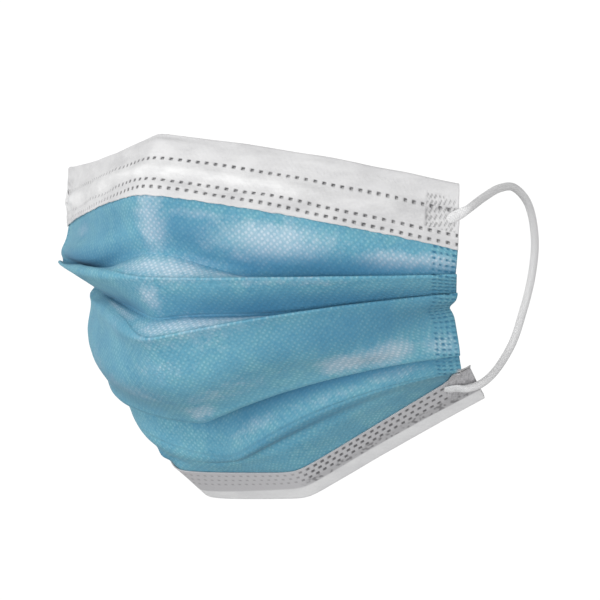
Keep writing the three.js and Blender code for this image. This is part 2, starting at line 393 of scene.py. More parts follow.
@dataclass(frozen=True)
class Ripple:
    """Soft noise in the cloth, the same in every run, with its lengths in millimetres."""

    height: float
    pitch: float
    stretch: float
    seed: float

    def over(self, points: Grid) -> Grid:
        """Noise over a grid of points.

        Args:
            points: Grid of points in millimetres.

        Returns:
            Values of about minus to plus the height; waves are longer level than upright by the stretch.
        """
        level = 1.0 / (self.pitch * self.stretch)
        flat = points.reshape(-1, 3) * np.array([level, level, 1.0 / self.pitch]) + self.seed
        values = [noise.noise(Vector(row)) for row in flat.tolist()]
        return self.height * np.array(values).reshape(points.shape[:2])


class Bend(Enum):
    """Way in which the cloth turns at a fold on its way down."""

    EDGE = 0
    OUTWARDS = 1
    INWARDS = -1


@dataclass
class Fold:
    """One fold of a section: places of its centre in the section, with its radius and turn."""

    centre: Grid
    aside: Grid
    bend: Bend
    radius: Value

    @property
    def reach(self) -> Value:
        """Radius with the sign of the turn."""
        return self.bend.value * self.radius

    def headings(self, before: Grid, after: Grid, steps: int) -> list[Grid]:
        """Directions of the cloth on its way round the fold.

        Args:
            before: Directions in which the cloth comes.
            after: Directions in which it leaves.
            steps: Facets round the fold, none at a free edge.

        Returns:
            The directions from the first facet to the last.
        """
        turn = self.bend.value
        count = 0 if self.bend is Bend.EDGE else steps
        angle = np.angle(after / before)
        angle = np.where(angle * turn < -0.5 * math.pi, angle + 2.0 * math.pi * turn, angle)
        angle = np.where(angle * turn < 0, 0.0, angle)
        return [before * np.exp(1j * angle * step / max(count, 1)) for step in range(count + 1)]


@dataclass
class Sections:
    """Middle line of the panel in many upright sections; one row per section, one column per station."""

    across: Grid
    out: Grid
    side: Grid
    place: Grid
    aside: Grid
    heading: Grid
    level: Grid

    @property
    def outward(self) -> Grid:
        """Outward directions in the plane of the sections."""
        return 1j * self.heading

    def lift(self, place: Grid, aside: Grid) -> Grid:
        """Turns places in the sections into points in space.

        Args:
            place: Outward distance and height as complex numbers.
            aside: Sideways distance.

        Returns:
            Points in millimetres.
        """
        points = self.out[:, None, :] * place.real[..., None] + self.side[:, None, :] * aside[..., None]
        points[..., 2] += place.imag
        return points

    def middle(self) -> Grid:
        """Points of the middle line."""
        return self.lift(self.place, self.aside)

    def lengths(self) -> Grid:
        """Distance along each section from its top edge."""
        return travelled(self.middle(), 1)

    def station(self, level: float) -> int:
        """Column halfway round the fold of that level."""
        columns = np.nonzero(self.level == level)[0]
        return int(columns[len(columns) // 2])


@dataclass
class MaskForm:
    """Form of the mask: the cloth runs as a string over the folds of each upright section."""

    tight: float = 0.3
    inner_bend: float = 0.75
    inner_fade: Limits = (0.45, 0.8)
    left_upper: float = 1.5
    left_middle: float = 3.0
    pleats_near: Limits = (-0.25, 0.05)
    pleats_far: Limits = (0.55, 0.85)
    band_bend: float = 4.0
    soft_bend: float = 1.5
    left_bend: float = 5.5
    left_lift: float = 0.36
    belly_near: Limits = (-0.24, 0.06)
    belly_far: Limits = (0.4, 0.75)
    chin_bend: float = 1.2
    hem_bend: float = 1.6
    cheek_span: int = 6
    cheek_swell: float = 3.5
    cheek_push: float = 8.5
    cheek_from: float = 0.45
    kink: float = 1.8
    kink_from: float = 0.7
    kink_level: float = 0.28
    kink_height: float = 0.16

    @staticmethod
    def frame(across: Grid) -> tuple[Grid, Grid]:
        """Level directions of the upright sections.

        Args:
            across: Shares of the half width.

        Returns:
            The outward and the sideways directions.
        """
        angle = section_angle(across)
        zero = np.zeros_like(angle)
        out = np.stack([np.sin(angle), -np.cos(angle), zero], axis=-1)
        side = np.stack([np.cos(angle), np.sin(angle), zero], axis=-1)
        return out, side

    @staticmethod
    def at_left(across: Grid, near: Limits, far: Limits) -> Grid:
        """Share that is 1 on the left side only, between its rise near the middle and its fall at the end."""
        return (1.0 - smooth(across, *near)) * (1.0 - smooth(-across, *far))

    def folds(self, across: Grid, out: Grid, side: Grid) -> list[Fold]:
        """Folds that a section meets on its way down.

        Args:
            across: Shares of the half width.
            out: Outward directions.
            side: Sideways directions.

        Returns:
            The folds from the top edge to the lip.
        """
        lines = {name: line.points(across) for name, line in LINES.items()}
        inner = {name: pleat.inner(lines[name], across, out) for name, pleat in PLEATS.items()}
        swollen = (self.left_bend - self.soft_bend) * self.at_left(across, self.belly_near, self.belly_far)
        belly = self.soft_bend + swollen
        lines["under"][:, 2] += self.left_lift * (belly - self.soft_bend)
        inside = 1.0 - smooth(np.abs(across), *self.inner_fade)
        crease = self.tight + (self.inner_bend - self.tight) * inside
        loose = self.at_left(across, self.pleats_near, self.pleats_far)
        upper = self.tight + (self.left_upper - self.tight) * loose
        middle = self.tight + (self.left_middle - self.tight) * loose
        stations = (
            (lines["top"], Bend.EDGE, 0.0),
            (lines["band"], Bend.INWARDS, self.band_bend),
            (inner["upper"], Bend.OUTWARDS, crease),
            (lines["upper"], Bend.INWARDS, upper),
            (inner["middle"], Bend.OUTWARDS, crease),
            (lines["middle"], Bend.INWARDS, middle),
            (lines["lower"], Bend.INWARDS, self.tight),
            (inner["lower"], Bend.OUTWARDS, crease),
            (lines["under"], Bend.INWARDS, belly),
            (lines["chin"], Bend.OUTWARDS, self.chin_bend),
            (lines["hem"], Bend.INWARDS, self.hem_bend),
            (lines["lip"], Bend.EDGE, 0.0),
        )
        folds = []
        for points, bend, radius in stations:
            level = np.sum(points * out, axis=1) + bend.value * radius
            aside = np.sum(points * side, axis=1)
            folds.append(Fold(level + 1j * points[:, 2], aside, bend, radius))
        return folds

    def swell(self, across: Grid) -> Grid:
        """How far the cheek span swells, or is pushed in at the right side."""
        pushed = np.clip((across - self.cheek_from) / (1.0 - self.cheek_from), 0.0, 1.0)
        return self.cheek_swell - self.cheek_push * pushed * pushed

    def pull(self, across: Grid, share: float) -> Grid:
        """How far the right edge of the cheek span is pulled in sideways, at a share of the span."""
        beside = smooth(across, self.kink_from, 1.0)
        return self.kink * beside * math.exp(-(((share - self.kink_level) / self.kink_height) ** 2))

    def sections(self, across: Grid, span_steps: tuple[int, ...], fold_steps: int) -> Sections:
        """Lays the cloth over the folds.

        Args:
            across: Shares of the half width, one for each section.
            span_steps: Pieces of each straight span, from the top edge down.
            fold_steps: Facets round each fold.

        Returns:
            The middle line of the panel in every section.
        """
        out, side = self.frame(across)
        folds = self.folds(across, out, side)
        runs = []
        for first, second in zip(folds, folds[1:]):
            step = second.centre - first.centre
            offset = second.reach - first.reach
            along = np.sqrt(np.maximum(np.abs(step) ** 2 - offset**2, 1e-6))
            runs.append(step / (along + 1j * offset))
        places, asides, headings, levels = [], [], [], []
        for index, fold in enumerate(folds):
            before = runs[max(index - 1, 0)]
            arc_headings = fold.headings(before, runs[min(index, len(runs) - 1)], fold_steps)
            arc_places = [fold.centre - fold.reach * 1j * heading for heading in arc_headings]
            if index > 0:
                count = span_steps[index - 1]
                last_place, last_aside = places[-1], asides[-1]
                for share in (step / count for step in range(1, count)):
                    place = last_place + (arc_places[0] - last_place) * share
                    aside = last_aside + (fold.aside - last_aside) * share
                    if index == self.cheek_span:
                        place = place + self.swell(across) * math.sin(math.pi * share) ** 2 * 1j * before
                        aside = aside - self.pull(across, share)
                    places.append(place)
                    asides.append(aside)
                    headings.append(before)
                    levels.append(index - 1 + share)
            places += arc_places
            headings += arc_headings
            asides += [fold.aside] * len(arc_places)
            levels += [float(index)] * len(arc_places)
        grids = [np.stack(rows, axis=1) for rows in (places, asides, headings)]
        return Sections(across, out, side, *grids, np.array(levels))


def make_piece(
    name: str, points: Grid, faces: list[list[int]], flat: Grid, materials: list[Material]
) -> Piece:
    """Makes a smooth mesh with a map of its own and puts it in the scene, at the origin.

    Args:
        name: Name of the piece.
        points: Points in millimetres.
        faces: Points of each face.
        flat: Map points in metres, one for each corner of the faces.
        materials: Finishes of the piece.

    Returns:
        The new object.
    """
    mesh = bpy.data.meshes.new(name)
    mesh.from_pydata((points.reshape(-1, 3) * MM).tolist(), [], faces)
    layer = mesh.uv_layers.new(name="cloth")
    layer.data.foreach_set("uv", flat.astype(np.float32).reshape(-1))
    for material in materials:
        mesh.materials.append(material)
    mesh.polygons.foreach_set("use_smooth", np.ones(len(faces), dtype=bool))
    mesh.update()
    piece = bpy.data.objects.new(name, mesh)
    bpy.context.scene.collection.objects.link(piece)
    return piece


@dataclass
class Cloth:
    """Two sides of a sheet of cloth as grids of points in millimetres, with values for its finish."""

    front: Grid
    rear: Grid
    values: dict[str, Grid] = field(default_factory=dict)
    down: Grid | None = None

    def map_points(self) -> Grid:
        """Distances along both directions of the cloth, in metres, counted from its middle column.

        Returns:
            One pair of distances for each point of the front.
        """
        down = travelled(self.front, 1) if self.down is None else self.down
        sideways = travelled(self.front, 0)
        sideways = sideways - sideways[len(sideways) // 2]
        return np.stack([sideways, down], axis=-1) * MM

    def build(self, name: str, materials: list[Material]) -> Piece:
        """Makes the closed mesh of the cloth.

        Args:
            name: Name of the piece.
            materials: Finish of the front, and of the rear where it differs.

        Returns:
            The new object, at the origin.
        """
        rows, columns = self.front.shape[:2]
        count = rows * columns
        index = np.arange(count).reshape(rows, columns)
        corners = [index[:-1, :-1], index[:-1, 1:], index[1:, 1:], index[1:, :-1]]
        front = np.stack(corners, axis=-1).reshape(-1, 4)
        rear = front[:, ::-1] + count
        ring = np.concatenate([index[:, 0], index[-1, 1:], index[-2::-1, -1], index[0, -2:0:-1]])
        after = np.roll(ring, -1)
        rim = np.stack([ring, after, after + count, ring + count], axis=-1)
        faces = np.concatenate([front, rear, rim])
        flat = self.map_points().reshape(-1, 2)
        flat = np.concatenate([flat, flat])[faces.reshape(-1)]
        piece = make_piece(name, np.stack([self.front, self.rear]), faces.tolist(), flat, materials)
        for key, grid in self.values.items():
            attribute = piece.data.attributes.new(key, "FLOAT", "POINT")
            both = np.concatenate([grid.reshape(-1), grid.reshape(-1)])
            attribute.data.foreach_set("value", both.astype(np.float32))
        slots = np.zeros(len(faces), dtype=np.int32)
        slots[len(front):len(front) + len(rear)] = len(materials) - 1
        piece.data.polygons.foreach_set("material_index", slots)
        piece.data.update()
        return piece


@dataclass(frozen=True)
class Cloud:
    """Soft noise of a finish, stretched to run from 0 to 1 between two limits; its pitch is in metres."""

    pitch: float
    detail: float
    roughness: float = 0.5
    low: float = 0.0
    high: float = 1.0
    stretch: float = 1.0


@dataclass(frozen=True)
class Relief:
    """Low relief of a finish: height of a step of 1 in metres, and the share of it that is used."""

    height: float
    share: float


@dataclass(frozen=True)
class Gloss:
    """Even values of a finish."""

    roughness: float
    specular: float
    sheen: float
    sheen_roughness: float = 0.5


class Shader:
    """Small helper that lays out the nodes of one material."""

    lattice_turn = math.radians(45.0)
    lattice_scatter = 0.32
    dot_edge: Limits = (1.5, 0.5)

    def __init__(self, name: str) -> None:
        """Starts a material of that name with its output and its main shader."""
        self.material = bpy.data.materials.new(name)
        self.material.use_nodes = True
        self.tree = self.material.node_tree
        self.surface = self.tree.nodes["Principled BSDF"]

    def node(self, kind: str, inputs: dict[str, object], **settings: object) -> bpy.types.Node:
        """Adds a node.

        Args:
            kind: Type name of the node, after ShaderNode.
            inputs: A socket or a plain value for each of its inputs, by name.
            settings: Plain properties to set on it.

        Returns:
            The new node.
        """
        made = self.tree.nodes.new(f"ShaderNode{kind}")
        for key, value in settings.items():
            setattr(made, key, value)
        for key, value in inputs.items():
            self.feed(made.inputs[key], value)
        return made

    def feed(self, target: Socket, value: Socket | Colour | float) -> None:
        """Joins a socket to an input, or sets a plain value on it.

        Args:
            target: Input to feed.
            value: Socket, number, vector or colour.
        """
        if isinstance(value, Socket):
            self.tree.links.new(value, target)
        elif isinstance(value, tuple) and target.type == "RGBA":
            target.default_value = (*value, 1.0)
        else:
            target.default_value = value

    def coordinates(self, output: str, scale: Colour, turn: float = 0.0) -> Socket:
        """Coordinates for a pattern.

        Args:
            output: Name of the coordinate, such as Object or UV.
            scale: Scale along each axis.
            turn: Angle about the third axis.

        Returns:
            The socket that gives the coordinates.
        """
        source = self.node("TexCoord", {}).outputs[output]
        inputs = {"Vector": source, "Scale": scale, "Rotation": (0.0, 0.0, turn)}
        return self.node("Mapping", inputs).outputs["Vector"]

    def cloud(self, cloud: Cloud) -> Socket:
        """Soft noise in the frame of the part, before it is stretched between its limits.

        Args:
            cloud: Sizes of the noise.

        Returns:
            The socket that gives the noise.
        """
        inputs = {
            "Vector": self.coordinates("Object", (1.0, 1.0, cloud.stretch)),
            "Scale": 1.0 / cloud.pitch,
            "Detail": cloud.detail,
            "Roughness": cloud.roughness,
        }
        return self.node("TexNoise", inputs).outputs["Fac"]

    def clouds(self, cloud: Cloud) -> Socket:
        """Soft noise that runs from 0 to 1 between its limits."""
        return self.ramp(self.cloud(cloud), cloud.low, cloud.high)

    def ramp(self, source: Socket, low: float, high: float) -> Socket:
        """Stretches a value so that it runs from 0 to 1 between two limits."""
        inputs = {"Value": source, "From Min": low, "From Max": high}
        return self.node("MapRange", inputs, clamp=True).outputs["Result"]

    def mix(self, share: Socket, first: Colour | Socket, second: Colour | Socket) -> Socket:
        """Mixes two colours.

        Args:
            share: Socket that gives the share of the second colour.
            first: A colour, or a socket that gives one.
            second: A colour, or a socket that gives one.

        Returns:
            The socket that gives the mixed colour.
        """
        made = self.node("Mix", {"Factor": share}, data_type="RGBA")
        for key, value in (("A", first), ("B", second)):
            matching = [entry for entry in made.inputs if entry.name == key and entry.type == "RGBA"]
            self.feed(matching[0], value)
        return [entry for entry in made.outputs if entry.type == "RGBA"][0]

    def math(self, operation: str, first: Socket, second: Socket | float) -> Socket:
        """Combines a value with a value or a number.

        Args:
            operation: Name of the operation.
            first: Socket of the first value.
            second: Socket or number of the second value.

        Returns:
            The socket that gives the result.
        """
        made = self.node("Math", {}, operation=operation)
        self.feed(made.inputs[0], first)
        self.feed(made.inputs[1], second)
        return made.outputs["Value"]

    def times(self, first: Socket, second: Socket | float) -> Socket:
        """Product of a value with a value or a number."""
        return self.math("MULTIPLY", first, second)

    def plus(self, first: Socket, second: Socket | float) -> Socket:
        """Sum of a value with a value or a number."""
        return self.math("ADD", first, second)

    def lattice(self, pitch: float, width: float) -> Socket:
        """Slanted field of round dots on the cloth's own map.

        Args:
            pitch: Distance between dots, in metres.
            width: Radius of a dot as a share of the pitch.

        Returns:
            The socket that gives 1 in a dot and 0 between the dots.
        """
        vector = self.coordinates("UV", (1.0 / pitch, 1.0 / pitch, 1.0), self.lattice_turn)
        inputs = {"Vector": vector, "Scale": 1.0, "Randomness": self.lattice_scatter}
        cells = self.node("TexVoronoi", inputs, voronoi_dimensions="2D")
        outer, inner = self.dot_edge
        return self.ramp(cells.outputs["Distance"], width * outer, width * inner)

    def value(self, name: str) -> Socket:
        """Reads a value that the mesh carries at its points."""
        return self.node("Attribute", {}, attribute_name=name).outputs["Fac"]

    def bump(self, source: Socket, relief: Relief) -> None:
        """Adds low relief to the main shader.

        Args:
            source: Socket that gives the height.
            relief: Strength of the relief.
        """
        inputs = {"Height": source, "Distance": relief.height, "Strength": relief.share}
        made = self.node("Bump", inputs)
        normal = self.surface.inputs["Normal"]
        if normal.is_linked:
            self.feed(made.inputs["Normal"], normal.links[0].from_socket)
        self.feed(normal, made.outputs["Normal"])

    def finish(self, colour: Colour | Socket, gloss: Gloss) -> Material:
        """Sets the colour and the even values of the main shader.

        Args:
            colour: A colour, or a socket that gives one.
            gloss: The even values.

        Returns:
            The finished material.
        """
        inputs = {
            "Base Color": colour,
            "Roughness": gloss.roughness,
            "Specular IOR Level": gloss.specular,
            "Sheen Weight": gloss.sheen,
            "Sheen Roughness": gloss.sheen_roughness,
        }
        for key, value in inputs.items():
            self.feed(self.surface.inputs[key], value)
        return self.material


@dataclass(frozen=True)
class BlueCloth:
    """Outer ply: blue nonwoven with a fine embossed lattice, welded dashes at the sides, and painted sheen
    and painted shade in its colour.
    """

    deep: Colour = (0.085, 0.29, 0.42)
    plain: Colour = (0.118, 0.345, 0.475)
    patches: Cloud = Cloud(0.016, 3.0, 0.5, 0.35, 0.68)
    teal: Colour = (0.15, 0.39, 0.44)
    mottles: Cloud = Cloud(0.006, 4.0, 0.65, 0.45, 0.62)
    mottle_share: float = 0.45
    pale: Colour = (0.195, 0.45, 0.555)
    grain: Cloud = Cloud(0.0013, 5.0, 0.85, 0.38, 0.70)
    grain_share: float = 0.65
    pitch: float = 0.0013
    dot_width: float = 0.27
    bright: Colour = (0.31, 0.57, 0.64)
    clear: Cloud = Cloud(0.006, 4.0, 0.7, 0.3, 0.7)
    dot_share: float = 0.7
    # Painted sheen: its pale colour, and the noise and limits that break its edges.
    painted_sheen_colour: Colour = (0.55, 0.66, 0.745)
    painted_sheen_strength: float = 0.97
    sheen_edge_noise: Cloud = Cloud(0.0032, 9.0, 0.85)
    sheen_edge_share: float = 1.9
    painted_sheen_limits: Limits = (1.18, 1.9)
    painted_sheen_in_dots: float = 0.5
    painted_sheen_between: float = 0.58
    # Painted shade: the deep blue of the painted shade patches.
    painted_shade: Colour = (0.040, 0.175, 0.315)
    painted_shade_share: float = 0.82
    weld: Colour = (0.05, 0.19, 0.31)
    edge: Colour = (0.52, 0.52, 0.525)
    fuzz: Cloud = Cloud(0.0009, 3.0, 0.7)
    fuzz_relief: Relief = Relief(0.00012, 0.5)
    dot_relief: Relief = Relief(0.00014, 0.6)
    gloss: Gloss = Gloss(0.75, 0.25, 0.05)

    def make(self) -> Material:
        """Lays out the material.

        Returns:
            The finished material.
        """
        shader = Shader("blue_cloth")
        dots = shader.lattice(self.pitch, self.dot_width)
        clear = shader.times(shader.clouds(self.clear), dots)
        # Painted sheen from the mesh value, its edges broken by noise and stronger on the embossed dots.
        sheen_edge_noise = shader.times(shader.cloud(self.sheen_edge_noise), self.sheen_edge_share)
        painted_sheen_mask = shader.ramp(shader.plus(shader.value("painted_sheen"), sheen_edge_noise), *self.painted_sheen_limits)
        painted_sheen_mask = shader.times(painted_sheen_mask, shader.plus(shader.times(dots, self.painted_sheen_in_dots), self.painted_sheen_between))
        colour = shader.mix(shader.clouds(self.patches), self.deep, self.plain)
        for share, amount, other in (
            (shader.clouds(self.mottles), self.mottle_share, self.teal),
            (shader.clouds(self.grain), self.grain_share, self.pale),
            (clear, self.dot_share, self.bright),
            (painted_sheen_mask, self.painted_sheen_strength, self.painted_sheen_colour),
            # Painted shade.
            (shader.value("painted_shade"), self.painted_shade_share, self.painted_shade),
            (shader.value("weld"), 1.0, self.weld),
            (shader.value("press"), 1.0, self.edge),
        ):
            colour = shader.mix(shader.times(share, amount), colour, other)
        shader.bump(shader.cloud(self.fuzz), self.fuzz_relief)
        shader.bump(dots, self.dot_relief)
        return shader.finish(colour, self.gloss)


@dataclass(frozen=True)
class WhiteCloth:
    """Inner ply: white nonwoven, greyer by its press value, with stretched grey patches of painted wrinkle
    shade, and dark grey in the welded dots.
    """

    name: str = "white_cloth"
    plain: Colour = (0.81, 0.81, 0.81)
    # Painted shade of soft wrinkles: its grey and its stretched patches.
    shade: Colour = (0.635, 0.635, 0.64)
    weld: Colour = (0.07, 0.07, 0.073)
    pressed: Colour = (0.50, 0.495, 0.505)
    patches: Cloud = Cloud(0.012, 4.0, 0.6, 0.4, 0.66, 2.6)
    pitch: float = 0.0013
    dot_width: float = 0.3
    fuzz: Cloud = Cloud(0.0008, 3.0, 0.7)
    fuzz_relief: Relief = Relief(0.00012, 0.45)
    dot_relief: Relief = Relief(0.00006, 0.5)
    gloss: Gloss = Gloss(0.7, 0.35, 0.25)

    def make(self) -> Material:
        """Lays out the material.

        Returns:
            The finished material.
        """
        shader = Shader(self.name)
        # Painted shade: stretched grey patches that stand for the shade of soft wrinkles.
        colour = shader.mix(shader.clouds(self.patches), self.plain, self.shade)
        # Press value: painted shade on the chin band's welded zone and beside the nose band's wire pocket,
        # the greyer hem strip of the nose band and the grey lower corners of the panel.
        colour = shader.mix(shader.value("press"), colour, self.pressed)
        colour = shader.mix(shader.value("weld"), colour, self.weld)
        shader.bump(shader.cloud(self.fuzz), self.fuzz_relief)
        shader.bump(shader.lattice(self.pitch, self.dot_width), self.dot_relief)
        return shader.finish(colour, self.gloss)


INNER_CLOTH = WhiteCloth("inner_cloth", shade=(0.77, 0.77, 0.775), weld=(0.42, 0.42, 0.43))
# Chin band: the white ply, painted grey as shade since the band faces down; its press value darkens the
# welded zone further as painted shade.
SHADED_CHIN_CLOTH = WhiteCloth(
    "grey_cloth", plain=(0.74, 0.74, 0.745), shade=(0.66, 0.66, 0.67), pressed=(0.49, 0.485, 0.50)
)


@dataclass(frozen=True)
class Elastic:
    """Round knitted elastic: white, with fine slanted stitches."""

    plain: Colour = (0.80, 0.80, 0.80)
    shade: Colour = (0.60, 0.60, 0.61)
    pitch: float = 0.0005
    stitch_width: float = 0.42
    relief: Relief = Relief(0.00010, 0.6)
    gloss: Gloss = Gloss(0.8, 0.3, 0.3)

    def make(self) -> Material:
        """Lays out the material.

        Returns:
            The finished material.
        """
        shader = Shader("white_elastic")
        stitches = shader.lattice(self.pitch, self.stitch_width)
        shader.bump(stitches, self.relief)
        return shader.finish(shader.mix(stitches, self.shade, self.plain), self.gloss)


@dataclass
class PleatedPanel:
    """The blue panel with its pleats, its rumpled cloth, its welded sides and its values for painted sheen
    and painted shade.
    """

    form: MaskForm
    name: str = "mask_panel"
    node: str = "pleated_panel"
    slot: str = "blue_cloth"
    flat_size: Limits = (0.175, 0.16)
    limits: tuple[float, ...] = (-1.0, -0.895, 0.895, 1.0)
    counts: tuple[int, ...] = (19, 112, 19)
    span_steps: tuple[int, ...] = (10, 36, 16, 24, 14, 54, 14, 20, 30, 4, 4)
    fold_steps: int = 6
    strip_shift: float = 20.15
    wall: float = 0.5
    weld_pitch: float = 1.65
    weld_columns: tuple[float, ...] = (1.0, 2.9, 4.8, 6.7)
    weld_length: float = 0.48
    weld_long_edge: Limits = (0.75, 1.25)
    weld_height: float = 0.30
    weld_high_edge: Limits = (0.7, 1.4)
    weld_depth: float = 0.3
    dent_fade: float = 0.22
    clouds: Ripple = Ripple(1.0, 7.0, 1.4, 41.7)
    painted_sheen_clouds: float = 0.25
    painted_shade_clouds: float = 0.10
    spot_fall: float = 0.7
    spot_power: float = 1.2
    press_across: Limits = (0.978, 0.995)
    press_level: Limits = (7.85, 8.0)
    coarse: Ripple = Ripple(0.45, 11.0, 2.2, 3.7)
    fine: Ripple = Ripple(0.16, 4.5, 1.5, 9.1)
    side_calm: float = 0.8
    side_fade: Limits = (0.8, 0.95)
    fold_share: float = 0.25
    bare_from: Limits = (0.9, 1.15)
    bare_to: Limits = (8.85, 9.0)

    def build(self) -> Piece:
        """Models the panel.

        Returns:
            The finished piece.
        """
        across = spaced(self.limits, self.counts)
        sections = self.form.sections(across, self.span_steps, self.fold_steps)
        middle = sections.middle()
        weld = self.welds(middle)
        place = sections.place + (self.dents(sections) + self.rumples(middle, sections)) * sections.outward
        half = 0.5 * self.wall * sections.outward
        front = sections.lift(place + half - self.weld_depth * weld * sections.outward, sections.aside)
        rear = sections.lift(place - half, sections.aside)
        cloudy = self.clouds.over(middle)
        low_corner = smooth(sections.level, *self.press_level)[None, :]
        values = {
            "weld": weld,
            "press": smooth(np.abs(across), *self.press_across)[:, None] * low_corner,
            # Weights of the painted sheen patches.
            "painted_sheen": self.patches(PAINTED_SHEEN_SPOTS, sections, self.painted_sheen_clouds * cloudy),
            # Weights of the painted shade patches.
            "painted_shade": self.patches(PAINTED_SHADE_SPOTS, sections, self.painted_shade_clouds * cloudy),
        }
        cloth = Cloth(front, rear, values, self.strip_length(sections))
        return cloth.build(self.name, [BlueCloth().make(), INNER_CLOTH.make()])

    def dents(self, sections: Sections) -> Grid:
        """Soft dents and swellings from the table, which leave the folds as they are.

        Args:
            sections: Sections of the panel.

        Returns:
            How far each point moves outwards.
        """
        total = np.zeros(sections.place.shape)
        for dent in DENTS:
            total += dent.amount * np.exp(-dent.distance(sections))
        from_fold = np.abs(sections.level - np.round(sections.level))
        return total * smooth(from_fold, 0.0, self.dent_fade)[None, :]

    def patches(self, table: tuple[Spot, ...], sections: Sections, cloudy: Grid) -> Grid:
        """Patches of painted sheen and of painted shade from a table, with cloudy edges.

        Args:
            table: Patches to lay on the cloth.
            sections: Sections of the panel.
            cloudy: Noise for their edges.

        Returns:
            The weight of the patches, from 0 to 1.
        """
        total = np.zeros(sections.place.shape)
        for patch in table:
            fall = np.exp(-self.spot_fall * patch.distance(sections) ** self.spot_power)
            total = np.maximum(total, patch.amount * fall)
        return np.clip(total + cloudy * np.sqrt(total), 0.0, 1.0)

    def strip_length(self, sections: Sections) -> Grid:
        """Distance down the cloth, counted in each strip from the fold above it.

        Args:
            sections: Sections of the panel.

        Returns:
            Distances in millimetres, moved on by an odd amount from strip to strip.
        """
        lengths = sections.lengths()
        result = np.empty_like(lengths)
        spans = np.floor(sections.level + 1e-6).astype(int)
        for span in np.unique(spans):
            columns = np.nonzero(spans == span)[0]
            result[:, columns] = lengths[:, columns] - lengths[:, columns[:1]] + self.strip_shift * span
        return result

    def rumples(self, middle: Grid, sections: Sections) -> Grid:
        """Uneven cloth between the folds, quiet at the welded sides and at sharp folds.

        Args:
            middle: Points of the panel.
            sections: Sections of the panel.

        Returns:
            How far each point moves outwards.
        """
        waves = self.coarse.over(middle) + self.fine.over(middle)
        calm = 1.0 - self.side_calm * smooth(np.abs(sections.across), *self.side_fade)
        share = sections.level - np.floor(sections.level)
        away = np.sqrt(np.clip(np.sin(np.pi * share), 0.0, 1.0)) * (1.0 - self.fold_share) + self.fold_share
        bare = smooth(sections.level, *self.bare_from) * (1.0 - smooth(sections.level, *self.bare_to))
        return waves * calm[:, None] * (away * bare)[None, :]

    def welds(self, middle: Grid) -> Grid:
        """Columns of welded dashes along both sides.

        Args:
            middle: Points of the panel.

        Returns:
            1 in a dash and 0 between the dashes.
        """
        down = travelled(middle, 1)
        from_left = travelled(middle, 0)
        edge = np.minimum(from_left, from_left[-1] - from_left)
        row = np.abs(down - self.weld_pitch * np.round(down / self.weld_pitch))
        inner, outer = self.weld_high_edge
        tall = 1.0 - smooth(row, self.weld_height * inner, self.weld_height * outer)
        inner, outer = self.weld_long_edge
        total = np.zeros(edge.shape)
        for column in self.weld_columns:
            wide = 1.0 - smooth(np.abs(edge - column), self.weld_length * inner, self.weld_length * outer)
            total = np.maximum(total, wide * tall)
        return total


class FoldedEdge(Enum):
    """End of a band's front leaf at which the band turns round the panel."""

    TOP = -1
    BOTTOM = 1


@dataclass
class Leaf:
    """Course of one leaf of a band, one row per section."""

    place: Grid
    aside: Grid
    heading: Grid


